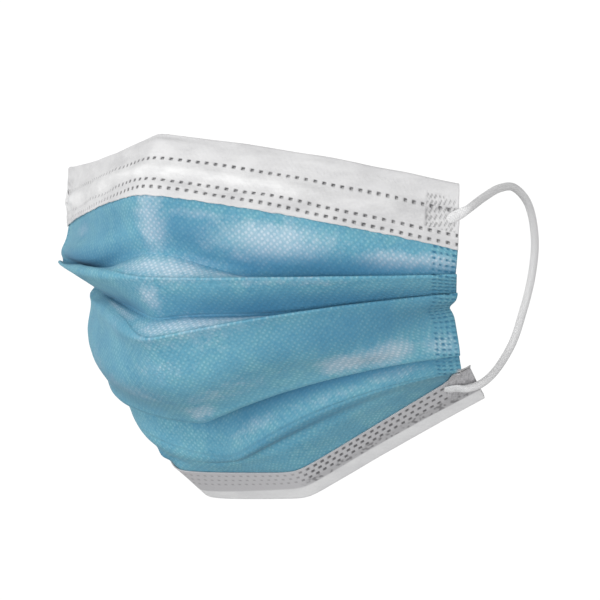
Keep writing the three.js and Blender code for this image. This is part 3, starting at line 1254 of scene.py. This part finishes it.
@dataclass
class FoldedBand:
    """A strip of the white ply folded round a free edge of the panel."""

    form: MaskForm
    name: str = "band"
    edge: FoldedEdge = FoldedEdge.TOP
    leaf: float = 0.62
    wall: float = 0.42
    dot_pitch: float = 2.6
    dot_half_width: float = 0.52
    dot_half_height: float = 0.46
    dot_edge: Limits = (0.75, 1.2)
    dot_depth: float = 0.24
    stroke_pitch: float = 1.2
    stroke_slant: float = 0.55
    stroke_edge: Limits = (0.25, 0.8)
    break_pitch: float = 1.7
    break_slant: float = 0.25
    break_edge: Limits = (-0.8, -0.2)
    edge_steps: int = 10
    path_steps: int = 24

    def trace(self, across: Grid) -> Sections:
        """Finely cut sections of the panel under the band."""
        return self.form.sections(across, (self.path_steps,) * SPANS, self.path_steps)

    @staticmethod
    def along_path(sections: Sections, wanted: Grid) -> Leaf:
        """Reads each section at wanted distances from its top edge.

        Args:
            sections: Finely cut sections.
            wanted: Distances to read, one row per section.

        Returns:
            The course of the leaf that lies there.
        """
        place = np.empty(wanted.shape, dtype=complex)
        aside = np.empty(wanted.shape)
        heading = np.empty(wanted.shape, dtype=complex)
        for row, known in enumerate(sections.lengths()):
            place[row] = np.interp(wanted[row], known, sections.place[row].real)
            place[row] += 1j * np.interp(wanted[row], known, sections.place[row].imag)
            aside[row] = np.interp(wanted[row], known, sections.aside[row])
            turned = np.unwrap(np.angle(sections.heading[row]))
            heading[row] = np.exp(1j * np.interp(wanted[row], known, turned))
        return Leaf(place, aside, heading)

    def wrap(self, front: Leaf, rear: Leaf) -> tuple[Grid, Grid, Grid]:
        """Joins both leaves by the turn round the edge, from the top of the cloth down.

        Args:
            front: Front leaf, from the top down.
            rear: Rear leaf, in the order in which the cloth runs on or comes.

        Returns:
            Places, sideways distances and the directions away from the panel.
        """
        sign = self.edge.value
        last = slice(0, 1) if self.edge is FoldedEdge.TOP else slice(-1, None)
        heading = front.heading[:, last]
        turn = np.pi * np.arange(1, self.edge_steps)[None, :] / self.edge_steps
        turned = sign * (1j * heading * np.cos(turn) + heading * np.sin(turn))
        place = [front.place, np.broadcast_to(front.place[:, last], turned.shape), rear.place]
        aside = [front.aside, np.broadcast_to(front.aside[:, last], turned.shape), rear.aside]
        away = [1j * front.heading, turned, -1j * rear.heading]
        joined = [np.concatenate(parts[::sign], axis=1) for parts in (place, aside, away)]
        return joined[0], joined[1], joined[2]

    @staticmethod
    def distance_along(middle: Grid, column: int) -> Grid:
        """Distance along the band from its middle.

        Args:
            middle: Points of the band.
            column: Column in which the distance is read.

        Returns:
            One distance for each point.
        """
        total = travelled(middle[:, column], 0)
        total = total - total[len(total) // 2]
        return np.broadcast_to(total[:, None], middle.shape[:2])

    def dot_row(self, along: Grid, down: Grid, row: Value, shift: float = 0.0, size: Value = 1.0) -> Grid:
        """A row of welded dots.

        Args:
            along: Distance along the band.
            down: Distance from the upper edge of the band.
            row: Distance of the row from that edge.
            shift: Offset along the band as a share of the pitch.
            size: Size of the dots as a share of the usual one.

        Returns:
            1 in a dot and 0 between the dots.
        """
        inner, outer = self.dot_edge
        place = along / self.dot_pitch + shift
        beside = np.abs(place - np.round(place)) * self.dot_pitch / size
        above = np.abs(down - row) / size
        wide = 1.0 - smooth(beside, self.dot_half_width * inner, self.dot_half_width * outer)
        tall = 1.0 - smooth(above, self.dot_half_height * inner, self.dot_half_height * outer)
        return wide * tall

    def hatch(self, along: Grid, down: Grid) -> Grid:
        """Slanted, broken strokes of a press mark.

        Args:
            along: Distance along the band.
            down: Distance from the upper edge of the band.

        Returns:
            1 in a stroke and 0 between the strokes.
        """
        strokes = np.cos(2.0 * np.pi * (along + self.stroke_slant * down) / self.stroke_pitch)
        break_pitch = self.break_pitch * self.stroke_pitch
        breaks = np.cos(2.0 * np.pi * (down + self.break_slant * along) / break_pitch)
        return smooth(strokes, *self.stroke_edge) * smooth(breaks, *self.break_edge)


@dataclass
class NoseBand(FoldedBand):
    """White band over the top edge, with its wire pocket, rows of welded dots and press marks, and a painted
    highlight over the wire pocket.
    """

    name: str = "mask_nose_band"
    node: str = "nose_band"
    slot: str = "white_cloth"
    flat_size: Limits = (0.172, 0.0275)
    columns: int = 641
    front_limits: tuple[float, ...] = (0.0, 0.325, 0.42, 0.69, 0.915, 1.0)
    front_counts: tuple[int, ...] = (10, 8, 9, 20, 6)
    rear_count: int = 9
    rear_reach: float = 8.0
    ragged: Ripple = Ripple(0.22, 1.7, 1.0, 61.0)
    uneven: Ripple = Ripple(0.35, 12.0, 1.0, 17.0)
    uneven_reach: float = 6.0
    measured_at: float = 10.0
    rows: tuple[float, ...] = (7.1, 14.0, 16.5)
    # Painted highlight in each welded dot: a smaller dot shifted to the lower right is lighter, leaving a
    # darker upper left rim as painted shade.
    dot_highlight_shift: float = 0.2
    dot_highlight_size: float = 0.62
    dot_highlight_share: float = 0.45
    left_light: float = 0.5
    left_fade: Limits = (8.0, 30.0)
    pocket: float = 10.4
    pocket_height: float = 1.7
    pocket_rise: float = 0.7
    # Painted highlight over the wire pocket, and the painted shade that greys the band beside it.
    wire_highlight_drop: float = 0.4
    wire_highlight_height: float = 2.1
    wire_highlight_loss: float = 0.9
    wire_highlight_fade: Limits = (38.0, 58.0)
    mark_low: float = 3.6
    mark_high: float = 13.2
    mark_inner: float = 9.6
    mark_outer: float = 1.0
    mark_soft: float = 0.3
    mark_soft_inner: float = 0.4
    mark_weld: float = 0.62
    mark_pit: float = 0.8
    mark_sink: float = 0.12
    ply_edge: float = 1.0
    ply_soft: float = 0.1
    ply_drop: float = 0.14
    coarse: Ripple = Ripple(1.2, 6.5, 2.6, 21.3)
    fine: Ripple = Ripple(0.40, 3.4, 2.0, 2.9)
    wave_lift: float = 0.3
    wave_low: float = -0.15
    wave_start: float = 2.0
    edge_calm: float = 0.7
    edge_fade: Limits = (3.0, 0.5)
    end_calm: float = 0.85
    end_fade: Limits = (0.78, 0.96)
    lining_limit: float = 0.4
    lining_share: float = 0.5
    frayed: Ripple = Ripple(0.25, 1.6, 2.0, 7.7)
    hem_press: float = 0.4
    hem_fade: Limits = (0.75, 0.45)
    shade_beside_highlight: float = 0.44

    def build(self) -> Piece:
        """Models the band.

        Returns:
            The finished piece.
        """
        across = np.linspace(-1.0, 1.0, self.columns)
        sections = self.trace(across)
        reach = sections.lengths()[:, sections.station(1.0)]
        reach = reach + self.ragged.over(sections.lift(sections.place[:, :1], sections.aside[:, :1]))[:, 0]
        down_front = reach[:, None] * spaced(self.front_limits, self.front_counts)[None, :]
        down_rear = self.rear_reach * np.linspace(1.0, 0.0, self.rear_count)[None, :]
        down_rear = np.broadcast_to(down_rear, (self.columns, self.rear_count))
        front = self.along_path(sections, down_front)
        place, aside, away = self.wrap(front, self.along_path(sections, down_rear))
        quiet = np.zeros((self.columns, self.edge_steps - 1))
        down = np.concatenate([-down_rear, quiet, down_front], axis=1)
        uneven = self.uneven.over(sections.lift(front.place[:, :1], front.aside[:, :1]))
        near_top = 1.0 - smooth(np.abs(down), 0.0, self.uneven_reach)
        place = place + front.heading[:, :1] * uneven * near_top
        middle = sections.lift(place, aside)
        column = int(np.argmin(np.abs(down[len(down) // 2] - self.measured_at)))
        along = self.distance_along(middle, column)
        weld, pit, rise = self.relief(along, down, reach[:, None])
        rise = rise + self.waves(middle, down, reach[:, None], across)
        lining = np.minimum(rise, self.lining_limit) * self.lining_share
        far = sections.lift(place + away * (self.leaf + self.wall / 2 + rise - self.dot_depth * pit), aside)
        near = sections.lift(place + away * (self.leaf - self.wall / 2 + lining), aside)
        low, high = self.hem_fade
        hem = smooth(down + self.frayed.over(middle), reach[:, None] - low, reach[:, None] - high)
        # Press value: the greyer hem strip, and painted shade beside the wire pocket so that the strip over
        # it reads as lit.
        press = np.maximum(self.hem_press * hem, self.shade_beside_highlight * (1.0 - self.wire_highlight(along, down)))
        return Cloth(far, near, {"weld": weld, "press": press}).build(self.name, [WhiteCloth().make()])

    def waves(self, middle: Grid, down: Grid, reach: Grid, across: Grid) -> Grid:
        """Loose waves of the front leaf, calm at its lower edge and at its ends.

        Args:
            middle: Points of the band.
            down: Distance from the folded edge, negative on the rear leaf.
            reach: Length of the front leaf in each section.
            across: Share of the half width of each section.

        Returns:
            The height of the waves.
        """
        low, high = self.edge_fade
        waves = self.coarse.over(middle) + self.fine.over(middle)
        waves = (waves + self.wave_lift) * (1.0 - self.edge_calm * smooth(down, reach - low, reach - high))
        waves = waves * (1.0 - self.end_calm * smooth(np.abs(across), *self.end_fade))[:, None]
        return np.maximum(waves, self.wave_low) * smooth(down, 0.0, self.wave_start)

    def wire_highlight(self, along: Grid, down: Grid) -> Grid:
        """Painted highlight over the wire pocket: the share of the band kept whiter than the painted shade
        beside it, fading towards the right press mark.
        """
        over_wire = np.exp(-(((down - self.pocket - self.wire_highlight_drop) / self.wire_highlight_height) ** 2))
        return over_wire * (1.0 - self.wire_highlight_loss * smooth(along, *self.wire_highlight_fade))

    def relief(self, along: Grid, down: Grid, reach: Grid) -> tuple[Grid, Grid, Grid]:
        """Welded dots, painted lighter towards their lower right as a highlight, and the raised parts of the
        front leaf.

        Args:
            along: Distance along the band.
            down: Distance from the folded edge, negative on the rear leaf.
            reach: Length of the front leaf in each section.

        Returns:
            The share of the weld, the depth of the pits and the height of the relief.
        """
        pit = np.zeros(along.shape)
        dot_highlight = np.zeros(along.shape)
        for row in self.rows:
            pit = np.maximum(pit, self.dot_row(along, down, row))
            # Painted highlight at the lower right of each dot.
            lit = self.dot_row(along - self.dot_highlight_shift, down - self.dot_highlight_shift, row, 0.0, self.dot_highlight_size)
            dot_highlight = np.maximum(dot_highlight, lit)
        weld = pit * (1.0 - self.dot_highlight_share * dot_highlight)
        weld = weld * (1.0 - self.left_light * smooth(-along, *self.left_fade))
        from_end = np.abs(along[-1, 0]) - np.abs(along)
        zone = np.ones(along.shape)
        for value, low, high, soft_high in (
            (from_end, self.mark_outer, self.mark_inner, self.mark_soft_inner),
            (down, self.mark_low, self.mark_high, self.mark_soft),
        ):
            zone = zone * smooth(value, low - self.mark_soft, low + self.mark_soft)
            zone = zone * (1.0 - smooth(value, high - soft_high, high + soft_high))
        marks = zone * self.hatch(np.abs(along), down)
        weld = np.maximum(weld, self.mark_weld * marks)
        pit = np.maximum(pit, self.mark_pit * marks)
        pocket = self.pocket_rise * np.exp(-(((down - self.pocket) / self.pocket_height) ** 2))
        ply = reach - self.ply_edge
        step = self.ply_drop * smooth(down, ply - self.ply_soft, ply + self.ply_soft)
        return weld, pit, pocket * (1.0 - zone) - self.mark_sink * zone - step


@dataclass
class ChinBand(FoldedBand):
    """Band round the chin edge: welded in staggered rows, with a plain bent lip; it is painted grey as shade,
    darker over the welded zone than on the lip.
    """

    name: str = "mask_chin_band"
    edge: FoldedEdge = FoldedEdge.BOTTOM
    node: str = "chin_band"
    slot: str = "grey_cloth"
    flat_size: Limits = (0.165, 0.0195)
    columns: int = 601
    upper_count: int = 40
    lip_count: int = 13
    rear_count: int = 7
    measured_column: int = 8
    beyond: float = 99.0
    end_cover: float = 8.5
    end_from: float = 0.88
    rows: tuple[float, ...] = (0.17, 0.40, 0.63)
    dot_pitch: float = 2.45
    dot_half_width: float = 0.64
    dot_half_height: float = 0.50
    dot_depth: float = 0.22
    dot_size: float = 0.72
    dot_growth: float = 0.2
    dot_weld: float = 0.38
    slope_weld: float = 0.5
    right_slope: Limits = (0.27, 0.36)
    left_slope: Limits = (0.45, 0.6)
    shaded_zone_fade: Limits = (-0.5, 0.3)
    mark_inner: float = 11.0
    mark_soft: float = 1.0
    mark_clear: float = 0.6
    mark_weld: float = 0.4
    specks: Ripple = Ripple(1.0, 0.9, 1.0, 13.1)
    blotches: Ripple = Ripple(0.6, 2.6, 1.0, 31.0)
    speck_edge: Limits = (0.0, 0.45)
    speck_base: float = 0.16
    speck_weld: float = 0.5
    speck_from: Limits = (0.62, 0.76)
    speck_to: Limits = (0.97, 1.0)
    waves: Ripple = Ripple(0.10, 7.0, 2.0, 5.5)

    def build(self) -> Piece:
        """Models the band.

        Returns:
            The finished piece.
        """
        across = np.linspace(-1.0, 1.0, self.columns)
        sections = self.trace(across)
        lengths = sections.lengths()
        chin = lengths[:, np.nonzero(sections.level == 9.0)[0][-1]]
        start = (chin - self.end_cover * smooth(np.abs(across), self.end_from, 1.0))[:, None]
        crease = lengths[:, sections.station(10.0)][:, None]
        end = lengths[:, -1:]
        upper = start + (crease - start) * np.linspace(0.0, 1.0, self.upper_count, endpoint=False)[None, :]
        lower = crease + (end - crease) * np.linspace(0.0, 1.0, self.lip_count)[None, :]
        front_down = np.concatenate([upper, lower], axis=1)
        rear_down = end - (end - crease) * np.linspace(0.0, 1.0, self.rear_count)[None, :]
        front = self.along_path(sections, front_down)
        place, aside, away = self.wrap(front, self.along_path(sections, rear_down))
        behind = np.full((self.columns, self.edge_steps - 1 + self.rear_count), self.beyond)
        down = np.concatenate([front_down - start, behind], axis=1)
        middle = sections.lift(place, aside)
        along = self.distance_along(middle, self.measured_column)
        weld, press = self.relief(along, down, crease - start, across)
        specks = smooth(self.specks.over(middle) + self.blotches.over(middle), *self.speck_edge)
        strip = self.speckled(down / (crease - start), across)
        weld = np.maximum(weld, (self.speck_base + self.speck_weld * specks) * strip)
        rise = self.waves.over(middle)
        far = sections.lift(place + away * (self.leaf + self.wall / 2 + rise - self.dot_depth * weld), aside)
        near = sections.lift(place + away * (self.leaf - self.wall / 2), aside)
        return Cloth(far, near, {"weld": weld, "press": press}).build(self.name, [SHADED_CHIN_CLOTH.make()])

    def slope(self, across: Grid) -> Grid:
        """How far a section lies on one of the slopes beside the chin, from 0 to 1, as a column."""
        return np.maximum(smooth(across, *self.right_slope), smooth(-across, *self.left_slope))[:, None]

    def speckled(self, share: Grid, across: Grid) -> Grid:
        """Speckled strip between the last row of dots and the crease, on the slopes only."""
        strip = smooth(share, *self.speck_from) * (1.0 - smooth(share, *self.speck_to))
        return strip * self.slope(across)

    def relief(self, along: Grid, down: Grid, width: Grid, across: Grid) -> tuple[Grid, Grid]:
        """Welded dots and the welded zone above the crease, painted a darker grey as shade.

        Args:
            along: Distance along the band.
            down: Distance from the upper edge of the band.
            width: Width of the welded zone in each section.
            across: Share of the half width of each section.

        Returns:
            The share of the weld and of the press, which paints the welded zone darker grey as shade.
        """
        weld = np.zeros(along.shape)
        size = self.dot_size + self.dot_growth * self.slope(across)
        for index, row in enumerate(self.rows):
            weld = np.maximum(weld, self.dot_row(along, down, row * width, 0.5 * (index % 2), size))
        weld = weld * (self.dot_weld + self.slope_weld * self.slope(across))
        # Painted shade: darker grey over the welded zone above the crease than on the lip.
        low, high = self.shaded_zone_fade
        press = 1.0 - smooth(down, width + low, width + high)
        from_end = np.abs(along[-1, 0]) - np.abs(along)
        zone = 1.0 - smooth(from_end, self.mark_inner - self.mark_soft, self.mark_inner + self.mark_soft)
        marks = zone * press * self.hatch(np.abs(along), down)
        return np.maximum(weld * (1.0 - self.mark_clear * zone), self.mark_weld * marks), press


class Side(Enum):
    """Side of the mask, as seen from its front."""

    RIGHT = 1
    LEFT = -1


@dataclass(frozen=True)
class LoopFit:
    """How the elastic lies at one side of the mask, in millimetres and shares."""

    clear: float
    exit_run: float
    pressed_length: float
    pressed_height: float
    spread: float


LOOP_FITS = {
    Side.RIGHT: LoopFit(2.05, 1.5, 5.5, 0.42, 1.0),
    Side.LEFT: LoopFit(1.55, 0.2, 9.0, 0.26, 0.955),
}

LOOP = (
    (75.3, 52.0, -17.8),
    (74.2, 63.0, -15.3),
    (73.2, 73.0, -15.4),
    (73.0, 81.5, -20.5),
    (72.0, 87.2, -31.0),
    (70.0, 89.0, -42.0),
    (67.5, 88.2, -53.0),
    (64.2, 86.4, -64.0),
)


@dataclass
class EarLoop:
    """Round elastic that is pressed flat on the nose band and on the chin band."""

    form: MaskForm
    side: Side
    slot: str = "white_elastic"
    diameter: float = 2.4
    sides: int = 20
    steps: int = 320
    curve_steps: int = 40
    anchor_steps: int = 20
    anchor_facets: int = 4
    start_at: Limits = (0.965, 0.60)
    leaves_at: Limits = (1.0, 0.41)
    returns_at: Limits = (1.0, 9.57)
    end_at: Limits = (0.885, 9.22)
    pressed_fade: Limits = (0.6, 1.3)
    pressed_width: float = 1.3
    pressed_sink: float = 0.05
    tip_fade: Limits = (-0.4, 2.2)
    tip_height: float = 0.25
    tip_width: float = 0.45
    blends: tuple[tuple[int, int], ...] = ((0, 1), (0, 2), (1, 2))

    @property
    def name(self) -> str:
        """Name of the piece."""
        return f"mask_{self.node}"

    @property
    def node(self) -> str:
        """Name of the solid that the piece stands for."""
        return f"ear_loop_{self.side.name.lower()}"

    @property
    def fit(self) -> LoopFit:
        """How the elastic lies at this side."""
        return LOOP_FITS[self.side]

    def anchor(self, spot: Limits) -> tuple[Grid, Grid, Grid]:
        """A place over the front of the mask.

        Args:
            spot: Share of the half width, and place down the panel by span.

        Returns:
            The place, the outward direction and the sideways direction.
        """
        across = np.array([self.side.value * spot[0]])
        sections = self.form.sections(across, (self.anchor_steps,) * SPANS, self.anchor_facets)
        column = int(np.argmin(np.abs(sections.level - spot[1])))
        cut = slice(column, column + 1)
        outward = sections.outward[:, cut]
        place = sections.place[:, cut]
        aside = sections.aside[:, cut]
        base = sections.lift(place, aside)[0, 0]
        point = sections.lift(place + outward * self.fit.clear, aside)[0, 0]
        direction = (point - base) / np.linalg.norm(point - base)
        return point, direction, sections.side[0]

    def route(self) -> tuple[Grid, Grid, Grid]:
        """Way of the elastic.

        Returns:
            The points that it runs through, and the outward directions at its two ends.
        """
        sign = self.side.value
        raised, drop = 0.0, 0.0
        if self.side is Side.LEFT:
            raised = LINES["top"].left_z - LINES["top"].right_z
            drop = LINES["hem"].left_z - LINES["hem"].right_z
        free = []
        for index, (x, y, z) in enumerate(LOOP):
            share = (index + 1) / (len(LOOP) + 1)
            free.append(np.array([sign * x * self.fit.spread, y, z + raised + (drop - raised) * share]))
        start, start_out, _ = self.anchor(self.start_at)
        first, _, first_side = self.anchor(self.leaves_at)
        last, _, last_side = self.anchor(self.returns_at)
        end, end_out, _ = self.anchor(self.end_at)
        first = first + first_side * sign * self.fit.exit_run
        last = last + last_side * sign * self.fit.exit_run
        return np.array([start, first, *free, last, end]), start_out, end_out

    def smooth_route(self, points: Grid) -> Grid:
        """Smooth curve through the points, with even steps.

        Args:
            points: Points to run through.

        Returns:
            Points along the curve.
        """
        ends = np.concatenate([[2 * points[0] - points[1]], points, [2 * points[-1] - points[-2]]])
        fine = []
        for index in range(1, len(ends) - 2):
            quad = ends[index - 1:index + 3]
            gaps = np.sqrt(np.linalg.norm(np.diff(quad, axis=0), axis=1))
            knots = np.concatenate([[0.0], np.cumsum(gaps)])
            for t in np.linspace(knots[1], knots[2], self.curve_steps, endpoint=False):
                blend = list(quad)
                for low, high in self.blends:
                    blend = [
                        (blend[k] * (knots[k + high] - t) + blend[k + 1] * (t - knots[k + low]))
                        / (knots[k + high] - knots[k + low])
                        for k in range(len(blend) - 1)
                    ]
                fine.append(blend[0])
        curve = np.array([*fine, points[-1]])
        lengths = travelled(curve, 0)
        wanted = np.linspace(0.0, lengths[-1], self.steps)
        return np.stack([np.interp(wanted, lengths, curve[:, axis]) for axis in range(3)], axis=1)

    def build(self, material: Material) -> tuple[Piece, Grid]:
        """Models the elastic.

        Args:
            material: Finish of the elastic.

        Returns:
            The finished piece and the points that it follows, in metres.
        """
        points, start_out, end_out = self.route()
        path = self.smooth_route(points)
        tangent = np.gradient(path, axis=0)
        tangent /= np.linalg.norm(tangent, axis=1)[:, None]
        share = np.linspace(0.0, 1.0, self.steps)[:, None]
        flat = start_out[None, :] * (1.0 - share) + end_out[None, :] * share
        flat -= tangent * np.sum(flat * tangent, axis=1)[:, None]
        flat /= np.linalg.norm(flat, axis=1)[:, None]
        wide = np.cross(tangent, flat)
        step = np.linalg.norm(path[1] - path[0])
        from_end = np.minimum(np.arange(self.steps), np.arange(self.steps)[::-1]) * step
        near, far = self.pressed_fade
        pressed = 1.0 - smooth(from_end, self.fit.pressed_length * near, self.fit.pressed_length * far)
        tip = smooth(from_end, *self.tip_fade)
        thick = 1.0 + (self.fit.pressed_height - 1.0) * pressed
        thick = thick * (self.tip_height + (1.0 - self.tip_height) * tip)
        broad = self.tip_width + (1.0 - self.tip_width) * np.sqrt(tip)
        broad = (1.0 + (self.pressed_width - 1.0) * pressed) * broad
        radius = self.diameter / 2
        sink = radius * (1.0 - thick) * pressed + self.pressed_sink * pressed
        centre = path - flat * sink[:, None]
        angle = 2.0 * np.pi * np.arange(self.sides) / self.sides
        ring = centre[:, None, :]
        ring = ring + flat[:, None, :] * (radius * thick[:, None] * np.cos(angle)[None, :])[..., None]
        ring = ring + wide[:, None, :] * (radius * broad[:, None] * np.sin(angle)[None, :])[..., None]
        return self.tube(ring, material, step), path * MM

    def tube(self, ring: Grid, material: Material, step: float) -> Piece:
        """Makes the closed tube from its rings.

        Args:
            ring: Grid of points, one row per ring.
            material: Finish of the tube.
            step: Distance between rings, in millimetres.

        Returns:
            The new object.
        """
        rows, columns = ring.shape[:2]
        index = np.arange(rows * columns).reshape(rows, columns)
        after = np.roll(index, -1, axis=1)
        sides = np.stack([index[:-1], after[:-1], after[1:], index[1:]], axis=-1).reshape(-1, 4)
        faces = sides.tolist() + [index[0, ::-1].tolist(), index[-1].tolist()]
        row, column = np.indices((rows - 1, columns))
        along = [np.stack([row, row, row + 1, row + 1], axis=-1).reshape(-1)]
        along += [np.zeros(columns), np.full(columns, rows - 1)]
        round_it = [np.stack([column, column + 1, column + 1, column], axis=-1).reshape(-1)]
        round_it += [np.arange(columns)[::-1], np.arange(columns)]
        round_step = math.pi * self.diameter / columns
        flat = np.stack([np.concatenate(along) * step, np.concatenate(round_it) * round_step], axis=-1) * MM
        piece = make_piece(self.name, ring, faces, flat, [material])
        bpy.ops.object.select_all(action="DESELECT")
        piece.select_set(True)
        bpy.context.view_layer.objects.active = piece
        bpy.ops.object.mode_set(mode="EDIT")
        bpy.ops.mesh.select_all(action="SELECT")
        bpy.ops.mesh.normals_make_consistent(inside=False)
        bpy.ops.object.mode_set(mode="OBJECT")
        piece.select_set(False)
        return piece


@dataclass(frozen=True)
class SoftBox:
    """A square soft box: place of its middle and length of its side in metres, and power in watts."""

    name: str
    place: Colour
    size: float
    power: float


@dataclass
class Studio:
    """Pale floor, soft light and the camera."""

    azimuth: float = 36.0
    elevation: float = 4.0
    distance: float = 0.62
    scale: float = 3500.0
    image: float = 600.0
    nose: Limits = (163.0, 135.0)
    sensor: float = 36.0
    clip: Limits = (0.01, 20.0)
    floor_drop: float = 1.5
    floor_size: float = 8.0
    floor_colour: Colour = (0.6, 0.6, 0.6)
    floor_gloss: Gloss = Gloss(0.9, 0.1, 0.0)
    horizon_low: float = 0.22
    horizon_high: float = 0.32
    horizon_light: float = 1.05
    sky_light: float = 0.45
    aim: Colour = (0.0, 0.03, -0.055)
    boxes: tuple[SoftBox, ...] = (
        SoftBox("key", (-0.40, -0.75, 0.75), 0.4, 3.9),
        SoftBox("fill", (0.9, -0.5, 0.40), 0.6, 0.8),
        SoftBox("front", (0.25, -0.95, -0.22), 0.7, 4.9),
    )

    def build(self, low: float) -> None:
        """Sets up the whole studio.

        Args:
            low: Lowest point of the part, in metres.
        """
        self.camera()
        self.floor(low - self.floor_drop)
        bpy.context.scene.view_settings.view_transform = "Standard"
        self.surroundings()
        for box in self.boxes:
            self.soft_box(box)

    def camera(self) -> None:
        """Places the camera so that the nose lies where it does in the photograph."""
        turn = math.radians(self.azimuth)
        rise = math.radians(self.elevation)
        back = Vector((math.sin(turn) * math.cos(rise), -math.cos(turn) * math.cos(rise), math.sin(rise)))
        right = Vector((math.cos(turn), math.sin(turn), 0.0))
        upward = back.cross(right)
        beside, above = (self.image / 2 - place for place in self.nose)
        target = right * (beside / self.scale) - upward * (above / self.scale)
        data = bpy.data.cameras.new("camera")
        data.sensor_width = self.sensor
        data.lens = self.scale * self.distance / self.image * self.sensor
        data.clip_start, data.clip_end = self.clip
        item = bpy.data.objects.new("camera", data)
        item.location = target + back * self.distance
        item.rotation_euler = (-back).to_track_quat("-Z", "Y").to_euler()
        bpy.context.scene.collection.objects.link(item)
        bpy.context.scene.camera = item

    def floor(self, level: float) -> None:
        """Adds the plain pale floor.

        Args:
            level: Height of the floor, in metres.
        """
        bpy.ops.object.select_all(action="DESELECT")
        bpy.ops.mesh.primitive_plane_add(size=self.floor_size, location=(0.0, 0.0, level))
        plane = bpy.context.object
        plane.name = "floor"
        plane.data.materials.append(Shader("floor").finish(self.floor_colour, self.floor_gloss))
        plane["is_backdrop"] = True

    def surroundings(self) -> None:
        """Makes the surroundings: white round the horizon and dimmer above and below it."""
        world = bpy.data.worlds.new("surroundings")
        world.use_nodes = True
        nodes = world.node_tree.nodes
        source = nodes.new("ShaderNodeTexCoord")
        split = nodes.new("ShaderNodeSeparateXYZ")
        height = nodes.new("ShaderNodeMath")
        height.operation = "ABSOLUTE"
        share = nodes.new("ShaderNodeMapRange")
        share.inputs["From Min"].default_value = self.horizon_low
        share.inputs["From Max"].default_value = self.horizon_high
        share.inputs["To Min"].default_value = self.horizon_light
        share.inputs["To Max"].default_value = self.sky_light
        link = world.node_tree.links.new
        link(source.outputs["Generated"], split.inputs["Vector"])
        link(split.outputs["Z"], height.inputs[0])
        link(height.outputs["Value"], share.inputs["Value"])
        link(share.outputs["Result"], nodes["Background"].inputs["Strength"])
        nodes["Background"].inputs["Color"].default_value = (1.0, 1.0, 1.0, 1.0)
        bpy.context.scene.world = world

    def soft_box(self, box: SoftBox) -> None:
        """Adds a soft box that faces the mask.

        Args:
            box: The soft box to add.
        """
        data = bpy.data.lights.new(box.name, "AREA")
        data.shape = "SQUARE"
        data.size = box.size
        data.energy = box.power
        item = bpy.data.objects.new(box.name, data)
        item.location = box.place
        aim = Vector(self.aim) - Vector(box.place)
        item.rotation_euler = aim.to_track_quat("-Z", "Y").to_euler()
        bpy.context.scene.collection.objects.link(item)


def path_length(points: Grid) -> float:
    """Length of a line through points."""
    return float(np.sum(np.linalg.norm(np.diff(points, axis=0), axis=1)))


def main() -> None:
    """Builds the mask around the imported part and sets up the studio."""
    logging.basicConfig(level=logging.INFO, format="%(name)s: %(message)s")
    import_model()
    cad_low, cad_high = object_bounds()
    form = MaskForm()

    Studio().build(cad_low[2])

    elastic = Elastic().make()
    for side in Side:
        loop = EarLoop(form, side)
        piece, path = loop.build(elastic)
        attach(piece, BODY)
        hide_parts(loop.node)
        LOG.info("%s: %.0f mm long", piece.name, path_length(path) / MM)

    for maker in (PleatedPanel(form), NoseBand(form), ChinBand(form)):
        piece = maker.build()
        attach(piece, BODY)
        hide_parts(maker.node)
        LOG.info("%s: %d faces", piece.name, len(piece.data.polygons))


if __name__ == "__main__":
    main()
